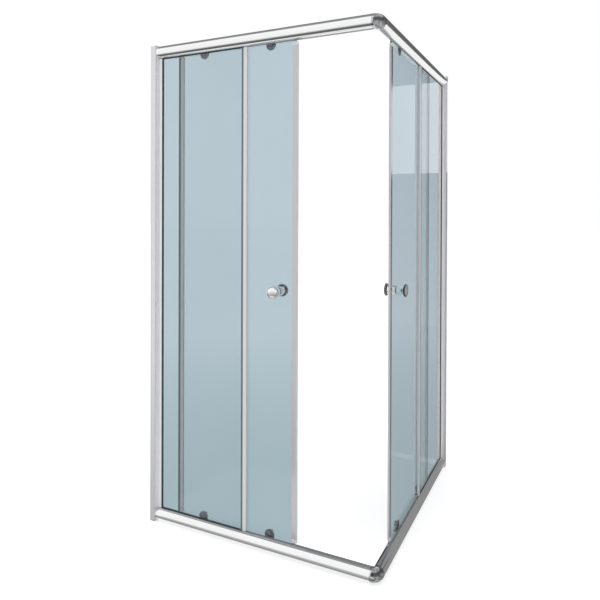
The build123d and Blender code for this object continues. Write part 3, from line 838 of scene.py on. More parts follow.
@dataclass(frozen=True)
class Moulded:
    """Moulded plastic or rubber with a fine grain."""

    name: str
    colour: Triple
    roughness: float = 0.4
    grain: float = 0.12
    scale: float = 1500.0
    clear: float = 0.0
    relief: float = 0.0001

    def make(self) -> Material:
        """Build the material."""
        paint = Painter(self.name)
        grain = paint.group(EFFECTS.moulded_grain, Scale=self.scale, Base_Roughness=self.roughness,
                            Roughness_Spread=0.15)
        paint.coat(self.colour, grain, paint.patches(scale=18.0, tone=0.06, rough=0.04))
        paint.set(IOR=1.49, Transmission_Weight=self.clear)
        paint.bump(grain.outputs["Height"], self.grain, self.relief)
        return paint.material


@dataclass(frozen=True)
class EdgeProfile:
    """Grey profile along a pane's edge, dark where its hook stands on the wall side."""

    name: str
    face: Face
    seam: float
    colour: Triple = (0.60, 0.61, 0.63)
    dark: Triple = (0.10, 0.13, 0.14)
    blend: float = 0.0006
    line_depth: float = 0.2

    def make(self) -> Material:
        """Build the material."""
        paint = Painter(self.name)
        tree = paint.tree
        lines = paint.group(EFFECTS.die_lines, paint.stretched(Along.Z), Pitch=1100.0, Base_Roughness=0.30,
                            Roughness_Spread=0.10, Tone_Spread=0.06)
        x, y, _ = add_node(tree, "SeparateXYZ", Vector=paint.place).outputs
        if self.face is Face.FRONT:
            along = math_node(tree, "SUBTRACT", CORNER, x)
        else:
            along = math_node(tree, "ADD", CORNER, y)
        hook = remap(tree, along, self.seam, self.seam + self.blend, 0.0, 1.0)
        mixed = mix_colours(tree, hook, paint.tinted(self.colour, lines), paint.tinted(self.dark, lines))
        paint.set(Base_Color=mixed, Roughness=lines.outputs["Roughness"])
        paint.bump(lines.outputs["Height"], self.line_depth, LINE_RELIEF)
        return paint.material


@dataclass(frozen=True)
class ToughenedGlass:
    """Tinted glass with darker ground edges and a thin water film."""

    name: str
    across: Along
    tint: Triple = (0.985, 0.99, 0.99)
    edge: Triple = (0.10, 0.19, 0.20)
    clear: float = 0.97
    edge_roughness: float = 0.35

    def make(self) -> Material:
        """Build the material."""
        paint = Painter(self.name)
        tree = paint.tree
        film = paint.group(EFFECTS.water_film, Amount=0.5, Clean_Roughness=0.0, Film_Roughness=0.09)
        surface = add_node(tree, "SeparateXYZ", Vector=paint.coordinates["Normal"])
        facing = math_node(tree, "ABSOLUTE", surface.outputs[self.across.value], 0.0)
        rim = remap(tree, facing, 0.25, 0.75, 1.0, 0.0)
        clear = paint.tinted(self.tint, paint.patches(scale=1.4, tone=0.025))
        rough = math_node(tree, "ADD", film.outputs["Roughness"],
                          math_node(tree, "MULTIPLY", rim, self.edge_roughness))
        paint.set(Base_Color=mix_colours(tree, rim, clear, (*self.edge, 1.0)), Roughness=rough, IOR=1.5,
                  Transmission_Weight=self.clear, Specular_IOR_Level=0.05)
        return paint.material


@dataclass(frozen=True)
class StudioFloor:
    """Plain pale floor which, seen through the panes, glows in a cool tone that is darker near the enclosure:
    painted tint and shade.
    """

    name: str = "studio_floor"
    colour: Triple = (0.93, 0.93, 0.93)
    glow: float = 0.45
    near: float = 0.35
    far: float = 3.2
    near_tone: Triple = (0.335, 0.450, 0.497)
    far_tone: Triple = (0.455, 0.565, 0.632)

    def make(self) -> Material:
        """Build the material."""
        paint = Painter(self.name)
        tree = paint.tree
        paint.coat(self.colour, paint.patches(scale=0.8, tone=0.01, rough=0.1, base=0.75))
        paint.set(Emission_Color=(1, 1, 1, 1), Emission_Strength=self.glow)
        # Painted tint and shade: through the panes the floor glows in a cool tone, darker near the enclosure
        # and lighter further away.
        distance = add_node(tree, "VectorMath")
        distance.operation = "LENGTH"
        fill(tree, distance.inputs[0], paint.place)
        away = remap(tree, distance.outputs["Value"], self.near, self.far, 0.0, 1.0)
        tone = mix_colours(tree, away, (*self.near_tone, 1.0), (*self.far_tone, 1.0))
        seen = add_node(tree, "Emission", Color=tone)
        through = add_node(tree, "LightPath").outputs["Is Transmission Ray"]
        mix = add_node(tree, "MixShader")
        for target, value in zip(mix.inputs, (through, paint.shader.outputs[0], seen.outputs[0])):
            fill(tree, target, value)
        return paint.finish(mix.outputs[0])


@dataclass(frozen=True)
class ReflectorCard:
    """Glowing card that only polished metal mirrors, fading away from the rail."""

    name: str
    across: Along
    near: float
    far: float
    near_tone: float
    far_tone: float

    def make(self) -> Material:
        """Build the material."""
        paint = Painter(self.name)
        place = add_node(paint.tree, "SeparateXYZ", Vector=paint.place).outputs[self.across.value]
        fade = remap(paint.tree, place, self.near, self.far, self.near_tone, self.far_tone)
        return paint.finish(add_node(paint.tree, "Emission", Strength=fade).outputs[0])


class Finishes:
    """All the object's materials, built once."""

    def __init__(self) -> None:
        """Build the shared groups and then every finish."""
        EFFECTS.build()
        rail = dict(colour=(0.93, 0.935, 0.94), roughness=0.06, line_depth=0.10)
        self.rails = {Face.FRONT: DrawnAluminium("polished_rail_x", Along.X, **rail).make(),
                      Face.SIDE: DrawnAluminium("polished_rail_y", Along.Y, **rail).make()}
        self.upright = DrawnAluminium("satin_upright_z", Along.Z, colour=(0.67, 0.675, 0.685), roughness=0.22,
                                      line_depth=0.25, metallic=0.6).make()
        self.jamb = DrawnAluminium("satin_jamb_z", Along.Z, colour=(0.82, 0.825, 0.83), roughness=0.3,
                                   metallic=0.3).make()
        self.stile = DrawnAluminium("bright_stile_z", Along.Z, colour=(0.56, 0.555, 0.565),
                                    roughness=0.2).make()
        self.elbow = ChromePlate("corner_chrome", colour=(0.66, 0.67, 0.68), roughness=0.03, mottle=0.9,
                                 patch_scale=110.0, ripple=0.8).make()
        self.knob = ChromePlate("knob_chrome", colour=(0.96, 0.965, 0.97), roughness=0.02).make()
        # Darker chrome on the knobs' flares, rims and grooves: a painted reflection of the dark surroundings
        # that the real knobs mirror.
        self.knob_painted_reflection = ChromePlate("knob_chrome_painted_reflection", colour=(0.06, 0.065, 0.07), roughness=0.10).make()
        self.bolt = ChromePlate("bolt_chrome", colour=(0.24, 0.25, 0.26), roughness=0.35).make()
        self.steel = ChromePlate("plain_steel", colour=(0.62, 0.62, 0.63), roughness=0.22).make()
        self.grey = Moulded("roller_grey", (0.125, 0.145, 0.155), roughness=0.42).make()
        self.wheel = Moulded("wheel_plastic", (0.40, 0.42, 0.44), roughness=0.30).make()
        self.white = Moulded("white_plastic", (0.82, 0.83, 0.84), roughness=0.30).make()
        self.filler = Moulded("slot_filler_grey", (0.20, 0.21, 0.215), roughness=0.35).make()
        self.end_cap = Moulded("silver_end_cap", (0.62, 0.64, 0.67), roughness=0.32).make()
        self.rubber = Moulded("glazing_rubber", (0.022, 0.036, 0.042), roughness=0.55, grain=0.2,
                              scale=900.0).make()
        self.magnet = Moulded("magnet_strip", (0.46, 0.47, 0.50), roughness=0.34).make()
        self.bush = Moulded("clear_bush", (0.80, 0.84, 0.86), roughness=0.12, clear=0.6).make()
        self.glass = {Face.FRONT: ToughenedGlass("toughened_glass_front", Along.Y).make(),
                      Face.SIDE: ToughenedGlass("toughened_glass_side", Along.X).make()}
        self.floor = StudioFloor().make()

    def profile(self, name: str, face: Face, end: float, grey: float, seam: float = 0.008) -> Material:
        """Edge profile whose wall-side end is known.

        Args:
            name: Name of the material.
            face: The face it stands in.
            end: Place of its wall-side end along the face.
            grey: Tone of its light part.
            seam: Width of its dark part.

        Returns:
            The material.
        """
        return EdgeProfile(name, face, end - seam, (grey, grey, grey)).make()


def dress(piece: Piece, material: Material) -> None:
    """Give a whole piece one material.

    Args:
        piece: A CAD node or a new piece.
        material: Its finish.
    """
    piece.data.materials.clear()
    piece.data.materials.append(material)
    for item in piece.data.polygons:
        item.material_index = 0


def dress_node(name: str, material: Material) -> None:
    """Give a CAD node a better material in its own slots.

    Args:
        name: Name of the node.
        material: Its finish.
    """
    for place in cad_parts[name].material_slots:
        place.material = material
    log.info("CAD node %s wears %s", name, material.name)


def hand_over(piece: Piece, body: str, slot: str, *nodes: str) -> None:
    """Let a finished piece ride its body in place of CAD nodes.

    Args:
        piece: The finished piece.
        body: Body it moves with.
        slot: Record slot of its finish; not used.
        nodes: CAD nodes it stands for.
    """
    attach(piece, body)
    if nodes:
        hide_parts(*nodes)
    log.info("%s rides %s, %d faces", piece.name, body, len(piece.data.polygons))


@dataclass
class Rail:
    """Bottom or top rails: the half-round chamber with what guides or carries the door."""

    level: Level
    slot_front: float = 0.0170
    slot_floor: float = 0.036
    wall: float = 0.0016
    track_front: float = 0.0388
    track_back: float = 0.0404
    rib_height: float = 0.033
    lip_drop: float = 0.0285
    lip_height: float = 0.0027
    inner_wall: float = 0.0442
    sides: int = 128
    weep: tuple[float, float] = (0.014, 0.003)
    weep_pitch: float = 0.240
    edge: float = 0.0006
    ledge_edge: float = 0.0004
    overcut: float = 0.01
    weep_overcut: float = 0.001
    mitre_gap: float = 0.0003

    def build(self, finishes: Finishes) -> None:
        """Model the rail once, copy it to both faces, dress both and hand them over.

        Args:
            finishes: All materials.
        """
        rail = self.chamber()
        parts = self.bottom_track() if self.level is Level.BOTTOM else self.top_track()
        rail = join(f"rail_{self.level.value}", rail, *parts)
        if self.level is Level.TOP:
            self.mitre(rail)
            move_mesh(rail, turn_over())
        smooth(rail, 25.0)
        for face in Face:
            twin = repeat(rail, f"rail_{self.level.value}_{face.value}", [face.matrix()])
            dress(twin, finishes.rails[face])
            hand_over(twin, "frame", "silver_frame", f"{self.level.value}_rail_{face.value}")
        discard(rail)

    def chamber(self) -> Piece:
        """Half-round chamber: a bar cut along its middle, thickened and slotted."""
        bar = round_bar("chamber", NOSE, (RAIL_START, NOSE, NOSE), (RAIL_END, NOSE, NOSE), self.sides)
        edit(bar)
        slice_at((0, NOSE, 0), (0, 1, 0), use_fill=True, clear_outer=True)
        pick(bar, lambda middle, normal: normal.y > SQUARE_ON)
        push(CHAMBER_BACK - NOSE)
        done()
        tidy_mesh(bar)
        slot = block("slot", (RAIL_START - self.overcut, self.slot_front, self.slot_floor),
                     (RAIL_END + self.overcut, NOSE, RAIL_HEIGHT + self.overcut))
        cut(bar, slot)
        return bar

    def bottom_track(self) -> list[Piece]:
        """Drip tray and the upright rib with its weep slots."""
        tray = block("tray", (RAIL_START, CHAMBER_BACK, 0), (RAIL_END, self.track_back, self.wall))
        top = self.rib_height
        rib = block("rib", (RAIL_START, self.track_front, self.wall), (RAIL_END, self.track_back, top))
        round_edges(rib, lambda a, b: min(a.z, b.z) > top - CLOSE and abs(a.y - b.y) < SAME, self.edge, 3)
        length, height = self.weep
        middle = (RAIL_START + RAIL_END) / 2
        tool = block("weep", (middle - length / 2, self.track_front - self.weep_overcut, self.wall),
                     (middle + length / 2, self.track_back + self.weep_overcut, self.wall + height))
        round_edges(tool, lambda a, b: abs(a.x - b.x) < SAME and abs(a.z - b.z) < SAME, height * 0.49, 6)
        cut(rib, *[copy_of(tool, "weep_copy", shift(index * self.weep_pitch)) for index in range(-1, 2)])
        discard(tool)
        return [tray, rib]

    def top_track(self) -> list[Piece]:
        """Web, inner wall, ledge and the rounded lip that the wheels run on."""
        floor = self.lip_drop + self.lip_height
        back = self.inner_wall + self.wall
        web = block("web", (RAIL_START, CHAMBER_BACK, 0), (RAIL_END, back, self.wall))
        wall = block("wall", (RAIL_START, self.inner_wall, self.wall), (RAIL_END, back, floor))
        ledge = block("ledge", (RAIL_START, self.track_front, floor), (RAIL_END, back, floor + self.wall))
        low = self.lip_drop
        top = floor + self.wall
        lip = block("lip", (RAIL_START, self.track_front, low), (RAIL_END, self.track_back, floor))
        round_edges(lip, lambda a, b: max(a.z, b.z) < low + CLOSE and abs(a.y - b.y) < SAME, self.edge, 3)
        round_edges(ledge, lambda a, b: min(a.z, b.z) > top - CLOSE and abs(a.y - b.y) < SAME,
                    self.ledge_edge, 2)
        return [web, wall, ledge, lip]

    def mitre(self, rail: Piece) -> None:
        """Cut the inner wall back at the corner, where the other rail meets it.

        Args:
            rail: The rail to cut.
        """
        edit(rail)
        slice_at((self.mitre_gap, 0, 0), (-1, 1, 0), use_fill=True, clear_outer=True)
        done()


@dataclass
class Elbow:
    """Chrome quarter turns of the rails at the open corner, bottom and top."""

    radius: float = RAIL_START
    plate: float = 0.0016
    sides: int = 96
    steps: int = 40
    edge: float = 0.0005

    def build(self, finishes: Finishes) -> None:
        """Model the bottom elbow, copy it to the top, dress both and hand them over.

        Args:
            finishes: All materials.
        """
        elbow = self.turn()
        foot = block("foot", (CORNER - self.radius, -CORNER + NOSE, 0),
                     (CORNER - NOSE, -CORNER + self.radius, self.plate))
        soften(elbow, self.edge, 2, 50.0)
        elbow = join("elbow", elbow, foot)
        smooth(elbow, 35.0)
        dress(elbow, finishes.elbow)
        for level, matrix in ((Level.BOTTOM, Matrix.Identity(4)), (Level.TOP, turn_over())):
            twin = repeat(elbow, f"elbow_{level.value}", [matrix])
            hand_over(twin, "frame", "corner_chrome", f"{level.value}_elbow")
        discard(elbow)

    def turn(self) -> Piece:
        """Half-round section spun through a quarter turn about the inner corner."""
        middle = (CORNER - self.radius, -CORNER + self.radius, 0)
        back = -CORNER + NOSE
        deselect()
        bpy.ops.mesh.primitive_circle_add(vertices=self.sides, radius=NOSE, fill_type="NGON",
                                          location=(middle[0], back, NOSE), rotation=(0, pi / 2, 0))
        section = fix_place(bpy.context.active_object, "elbow_section")
        edit(section)
        slice_at((0, back, 0), (0, 1, 0), clear_outer=True)
        pick_edges(section, lambda a, b: min(a.y, b.y) > back - SAME)
        push(CHAMBER_BACK - NOSE)
        bpy.ops.mesh.select_all(action="SELECT")
        bpy.ops.mesh.spin(steps=self.steps, angle=-pi / 2, center=middle, axis=(0, 0, 1),
                          use_normal_flip=False)
        done()
        tidy_mesh(section)
        return section


@dataclass
class Knob:
    """Knob of the pair: a spool with a groove near the glass and a flared end."""

    along_door: float = 0.085
    level: float = 0.925
    body: float = 0.0145
    neck: float = 0.0125
    end: float = 0.020
    base: float = 0.004
    groove: float = 0.002
    rim: float = 0.0045
    length: float = 0.035
    front_base: float = 0.0275
    back_base: float = 0.0345
    sides: int = 96
    curve_steps: int = 10
    edge: float = 0.0005
    shade_flare: float = 0.0028
    shade_groove: float = 0.0005
    end_rings: Pairs = ((0.0022, 0), (0.0008, -0.0006), (0.0030, 0.0002))

    def build(self, finishes: Finishes, leads: dict[Face, float]) -> None:
        """Model one knob and copy it to both sides of both doors.

        Args:
            finishes: All materials.
            leads: Place of each door's leading edge.
        """
        knob = self.model()
        dress(knob, finishes.knob)
        self.shade(knob, finishes.knob_painted_reflection)
        across = self.front_base + self.back_base
        flip = Matrix(((1, 0, 0, 0), (0, -1, 0, across), (0, 0, 1, 0), (0, 0, 0, 1)))
        for face, lead in leads.items():
            for side, turn in (("outer", Matrix.Identity(4)), ("inner", flip)):
                place = face.matrix() @ shift(lead + self.along_door) @ turn
                twin = repeat(knob, f"spool_{side}_{face.value}", [place])
                hand_over(twin, f"door_{face.value}", "knob_chrome", f"knob_{side}_{face.value}")
        discard(knob)

    def model(self) -> Piece:
        """Outer knob at the start of the face."""
        start = self.front_base
        knob = round_bar("knob", self.body, (0, start, self.level), (0, start - self.base, self.level),
                         self.sides)
        edit(knob)
        reach = self.base
        radius = self.body
        for target, step in self.steps():
            pick(knob, lambda m, n, r=reach: n.y < -SQUARE_ON and abs(m.y - (start - r)) < CLOSE)
            push(-step)
            scale = target / radius
            centre = (0, start - reach - step, self.level)
            bpy.ops.transform.resize(value=(scale, 1, scale), center_override=centre)
            radius = target
            reach += step
        self.dish(knob, start - reach)
        done()
        tidy_mesh(knob)
        soften(knob, self.edge, 3, 60.0)
        smooth(knob, 35.0)
        return knob

    def steps(self) -> list[tuple[float, float]]:
        """Radius and length of each step from the base to the end."""
        flare = self.end - self.body
        straight = self.length - self.base - self.groove - self.rim - flare
        steps = [(self.neck, 0.0), (self.neck, self.groove), (self.body, 0.0), (self.body, straight)]
        turns = [pi / 2 * index / self.curve_steps for index in range(self.curve_steps + 1)]
        for before, turn in zip(turns, turns[1:]):
            steps.append((self.body + flare * (1 - cos(turn)), flare * (sin(turn) - sin(before))))
        steps.append((self.end, self.rim))
        return steps

    def shade(self, knob: Piece, material: Material) -> None:
        """Paint a dark reflection on the flare, the rim and the groove with the darker chrome, for the dark
        surroundings that the real knobs mirror.

        Args:
            knob: The knob.
            material: The darker chrome of the painted reflection.
        """
        knob.data.materials.append(material)
        axis = Vector((0, 0, self.level))
        for item in knob.data.polygons:
            radius = (item.center * Vector((1, 0, 1)) - axis).length
            flared = radius > self.body + self.shade_flare and abs(item.normal.y) < 0.97
            near_glass = item.center.y > self.front_base - self.length / 2
            grooved = radius < self.body - self.shade_groove and near_glass
            if flared or grooved:
                item.material_index = 1

    def dish(self, knob: Piece, end: float) -> None:
        """Turn a shallow recess with a raised middle into the end face.

        Args:
            knob: The knob in edit mode.
            end: Depth of its end face.
        """
        pick(knob, lambda m, n: n.y < -SQUARE_ON and abs(m.y - end) < CLOSE)
        inset(*self.end_rings)


@dataclass
class Roller:
    """Grooved wheels on their axles, top or bottom."""

    level: Level
    width: float = 0.005
    front: float = 0.0371
    groove_depth: float = 0.002
    groove_half: float = 0.0012
    rim: float = 0.0022
    step: float = 0.0003
    recess: float = 0.0007
    hub: float = 0.002
    edge: float = 0.0002
    sides: int = 72

    def sizes(self) -> Triple:
        """Radius, height of the axle and radius of the axle."""
        if self.level is Level.TOP:
            return 0.012, 1.8318, 0.003
        return 0.010, 0.0413, 0.0025

    def build(self, finishes: Finishes, places: Places) -> None:
        """Model one wheel and copy it to every place at its level.

        Args:
            finishes: All materials.
            places: Each face's wheels, by end, with their place along the face.
        """
        wheel = self.model()
        dress(wheel, finishes.wheel)
        for face, ends in places.items():
            for end, u in ends.items():
                name = f"{self.level.value}_wheel_{face.value}_{end}"
                twin = repeat(wheel, f"roller_{name}", [face.matrix() @ shift(u)])
                hand_over(twin, name, "wheel_plastic", name)
        discard(wheel)

    def model(self) -> Piece:
        """Wheel at the start of the face."""
        radius, z, axle = self.sizes()
        back = self.front + self.width
        middle = (self.front + back) / 2
        wheel = round_bar("wheel", radius, (0, self.front, z), (0, back, z), self.sides)
        edit(wheel)
        for cutting in (middle - self.groove_half, middle + self.groove_half):
            slice_at((0, cutting, 0), (0, 1, 0))
        half = self.groove_half
        pick(wheel, lambda m, n: abs(n.y) < 0.5 and abs(m.y - middle) < half)
        push(0)
        scale = (radius - self.groove_depth) / radius
        bpy.ops.transform.resize(value=(scale, 1, scale), center_override=(0, middle, z))
        for way in (-1, 1):
            pick(wheel, lambda m, n, w=way: n.y * w > SQUARE_ON and (m - Vector((0, m.y, z))).length < 0.001)
            rest = radius - self.rim - self.step - axle - self.hub
            inset((self.rim, 0), (self.step, -self.recess), (rest, 0), (self.step, self.recess))
        done()
        tidy_mesh(wheel)
        soften(wheel, self.edge, 2, 50.0)
        smooth(wheel, 35.0)
        return wheel


@dataclass
class RollerHolders:
    """Round grey plates at the glass that carry the wheels, at the top and at the foot."""

    radius: float = 0.019
    front: float = 0.0337
    back: float = 0.0367
    boss: float = 0.0047
    glass_front: float = 0.0287
    neck: float = 0.011
    top_disc: float = 1.799
    top_axle: float = 1.8318
    bottom_disc: float = 0.054
    bottom_bolt: float = 0.063
    guide: Triple = (0.018, 0.0547, 0.0642)
    guide_back: float = 0.0464
    slot: Triple = (0.0053, 0.0420, 0.0446)
    axle_head: float = 0.0425
    axle_end: float = 0.0438
    axle: tuple[float, float] = (0.003, 0.005)
    edge: float = 0.0005
    neck_edge: float = 0.0004
    neck_inset: float = 0.0025
    head_edge: float = 0.0003
    guide_edge: float = 0.0018
    overcut: float = 0.002
    back_rings: Pairs = ((0.0016, 0), (0.0004, -0.0006))
    front_rings: Pairs = ((0.0030, 0), (0.0004, -0.0005), (0.0060, 0), (0.0004, 0.0005))
    sides: int = 72
    thin_sides: int = 32

    def plate(self, name: str, z: float) -> Piece:
        """Round plate with a raised rim and a shallow ring.

        Args:
            name: Name of the plate.
            z: Height of its centre.

        Returns:
            The plate.
        """
        disc = round_bar(name, self.radius, (0, self.front, z), (0, self.back, z), self.sides)
        edit(disc)
        pick(disc, lambda m, n: n.y > SQUARE_ON)
        inset(*self.back_rings)
        pick(disc, lambda m, n: n.y < -SQUARE_ON)
        inset(*self.front_rings)
        done()
        soften(disc, self.edge, 2, 50.0)
        return disc

    def bar(self, name: str, radius: float, start: float, end: float, z: float, sides: int = 64) -> Piece:
        """Round bar that runs inwards at the start of the face.

        Args:
            name: Name of the bar.
            radius: Its radius.
            start: Depth of its outer end.
            end: Depth of its inner end.
            z: Its height.
            sides: Number of faces round it.

        Returns:
            The bar.
        """
        return round_bar(name, radius, (0, start, z), (0, end, z), sides)

    def build(self, finishes: Finishes, places: Places) -> None:
        """Model one hanger and one holder and copy them to every place.

        Args:
            finishes: All materials.
            places: Each face's rollers, by end, with their place along the face.
        """
        for pattern, name in ((self.hanger(), "top_hangers"), (self.holder(), "bottom_holders")):
            smooth(pattern, 35.0)
            dress(pattern, finishes.grey)
            for face, ends in places.items():
                spots = [face.matrix() @ shift(u) for u in ends.values()]
                twins = repeat(pattern, f"{name}_{face.value}_look", spots)
                hand_over(twins, f"door_{face.value}", "grey_plastic", f"{name}_{face.value}")
            discard(pattern)

    def hanger(self) -> Piece:
        """Disc at the glass, tapered neck, axle and axle head."""
        disc = self.plate("hanger_disc", self.top_disc)
        middle = (self.front + self.back) / 2
        low = self.bar("neck_low", self.radius - self.neck_inset, self.front, middle, self.top_disc)
        high = self.bar("neck_high", self.neck, self.front, self.back, self.top_axle)
        neck = join("hanger_neck", low, high)
        edit(neck)
        bpy.ops.mesh.select_all(action="SELECT")
        bpy.ops.mesh.convex_hull()
        done()
        soften(neck, self.neck_edge, 2, 50.0)
        thin, thick = self.axle
        axle = self.bar("axle", thin, self.back, self.axle_end, self.top_axle, self.thin_sides)
        head = self.bar("axle_head", thick, self.axle_head, self.axle_end, self.top_axle, self.thin_sides)
        soften(head, self.head_edge)
        boss = self.bar("boss", self.boss, self.glass_front, self.front, self.top_disc, self.thin_sides)
        return join("hanger", disc, neck, axle, head, boss)

    def holder(self) -> Piece:
        """Disc at the glass with the guide that the wheel's carrier slides in."""
        disc = self.plate("holder_disc", self.bottom_disc)
        width, low, high = self.guide
        guide = block("guide", (-width / 2, self.back, low), (width / 2, self.guide_back, high))
        limit = self.guide_back - CLOSE
        round_edges(guide, lambda a, b: min(a.y, b.y) > limit and abs(a.x - b.x) < SAME, self.guide_edge, 5)
        half, near, far = self.slot
        cut(guide, block("guide_slot", (-half, near, low - self.overcut), (half, far, high + self.overcut)))
        soften(guide, self.head_edge, 2, 60.0)
        boss = self.bar("boss", self.boss, self.glass_front, self.front, self.bottom_bolt, self.thin_sides)
        return join("holder", disc, guide, boss)


@dataclass
class DoorBolts:
    """Low round heads on the outer side of the door panes."""

    head: float = 0.007
    shank: float = 0.0025
    glass: float = 0.0285
    shank_end: float = 0.0365
    thickness: float = 0.0012
    levels: tuple[float, float] = (1.799, 0.063)
    drive_rings: Pairs = ((0.0036, 0), (0.0003, -0.0006))
    edge: float = 0.0005
    head_sides: int = 48
    shank_sides: int = 24

    def build(self, finishes: Finishes, places: Places) -> None:
        """Model one bolt and copy it to the four places on each door.

        Args:
            finishes: All materials.
            places: Each face's rollers, by end, with their place along the face.
        """
        head = round_bar("bolt_head", self.head, (0, self.glass, 0), (0, self.glass - self.thickness, 0),
                         self.head_sides)
        edit(head)
        pick(head, lambda m, n: n.y < -SQUARE_ON)
        inset(*self.drive_rings)
        done()
        soften(head, self.edge, 3, 50.0)
        shank = round_bar("bolt_shank", self.shank, (0, self.glass, 0), (0, self.shank_end, 0),
                          self.shank_sides)
        bolt = join("bolt", head, shank)
        smooth(bolt, 35.0)
        dress(bolt, finishes.bolt)
        for face, ends in places.items():
            spots = [face.matrix() @ shift(u, z) for u in ends.values() for z in self.levels]
            twins = repeat(bolt, f"bolts_{face.value}", spots)
            hand_over(twins, f"door_{face.value}", "bolt_chrome", f"fixing_bolts_{face.value}")
        discard(bolt)


@dataclass
class ScrewCaps:
    """Domed covers over the jamb screws on both faces."""

    radius: float = 0.0065
    height: float = 0.0045
    back: float = 0.0458
    u: float = 0.935
    levels: Triple = (0.225, 0.925, 1.625)
    dome: float = 0.0026
    sides: int = 48

    def build(self, finishes: Finishes) -> None:
        """Model one cap and copy it to the three places on each face.

        Args:
            finishes: All materials.
        """
        limit = self.back + self.height
        cap = round_bar("cap", self.radius, (self.u, self.back, 0), (self.u, limit, 0), self.sides)
        round_edges(cap, lambda a, b: min(a.y, b.y) > limit - CLOSE, self.dome, 6)
        smooth(cap, 40.0)
        dress(cap, finishes.white)
        spots = [face.matrix() @ shift(0, z) for face in Face for z in self.levels]
        caps = repeat(cap, "jamb_screw_covers", spots)
        hand_over(caps, "frame", "pale_plastic", "screw_caps")
        discard(cap)


@dataclass
class Enclosure:
    """Frame and panes that stay still."""

    finishes: Finishes
    fixed_profile_end: float = 0.542
    profile_grey: float = 0.60

    def build(self) -> None:
        """Model the rails, elbows and covers, and dress the rest of the frame."""
        for level in Level:
            Rail(level).build(self.finishes)
        for face in Face:
            self.dress_face(face)
        Elbow().build(self.finishes)
        ScrewCaps().build(self.finishes)
        shared = {self.finishes.white: ("channel_caps", "track_stops"),
                  self.finishes.filler: ("slot_fillers",),
                  self.finishes.rubber: ("jamb_gaskets", "rail_gaskets", "stop_buffers"),
                  self.finishes.steel: ("jamb_screws", "rail_screws", "elbow_screws")}
        for finish, names in shared.items():
            for name in names:
                dress_node(name, finish)

    def dress_face(self, face: Face) -> None:
        """Dress the CAD nodes of one face.

        Args:
            face: The face.
        """
        end = face.value
        dress_node(f"wall_channel_{end}", self.finishes.upright)
        dress_node(f"side_jamb_{end}", self.finishes.jamb)
        dress_node(f"fixed_glass_{end}", self.finishes.glass[face])
        profile = self.finishes.profile(f"fixed_profile_{end}", face, self.fixed_profile_end,
                                        self.profile_grey)
        dress_node(f"fixed_edge_profile_{end}", profile)


@dataclass
class Doors:
    """The two sliding doors, each at the opening it has at rest."""

    finishes: Finishes
    shut_tip: float = 0.0273
    opened: dict[Face, float] = field(default_factory=lambda: {Face.FRONT: 0.287, Face.SIDE: 0.137})
    width: float = 0.517
    inset: float = 0.115
    # Lighter than the fixed profiles' grey: painted light that makes up for the glass in front of the
    # trailing profiles dimming them.
    profile_grey: float = 0.93

    def build(self) -> None:
        """Model the fittings and dress the panes and their profiles."""
        leads = {face: self.shut_tip + self.opened[face] for face in Face}
        places = {face: {"lead": lead + self.inset, "trail": lead + self.width - self.inset}
                  for face, lead in leads.items()}
        Knob().build(self.finishes, leads)
        RollerHolders().build(self.finishes, places)
        DoorBolts().build(self.finishes, places)
        for level in Level:
            Roller(level).build(self.finishes, places)
        for face, lead in leads.items():
            self.dress_nodes(face, lead + self.width)

    def dress_nodes(self, face: Face, trailing_end: float) -> None:
        """Dress one door's CAD nodes.

        Args:
            face: The door's face.
            trailing_end: Place of its wall-side end along the face.
        """
        end = face.value
        dress_node(f"door_glass_{end}", self.finishes.glass[face])
        dress_node(f"leading_stile_{end}", self.finishes.stile)
        dress_node(f"magnet_strip_{end}", self.finishes.magnet)
        dress_node(f"stile_caps_{end}", self.finishes.end_cap)
        profile = self.finishes.profile(f"trailing_profile_{end}", face, trailing_end, self.profile_grey)
        dress_node(f"trailing_profile_{end}", profile)
        dress_node(f"knob_bushes_{end}", self.finishes.bush)
        dress_node(f"knob_stud_{end}", self.finishes.steel)
        for place in ("lead", "trail"):
            dress_node(f"carrier_{end}_{place}", self.finishes.grey)


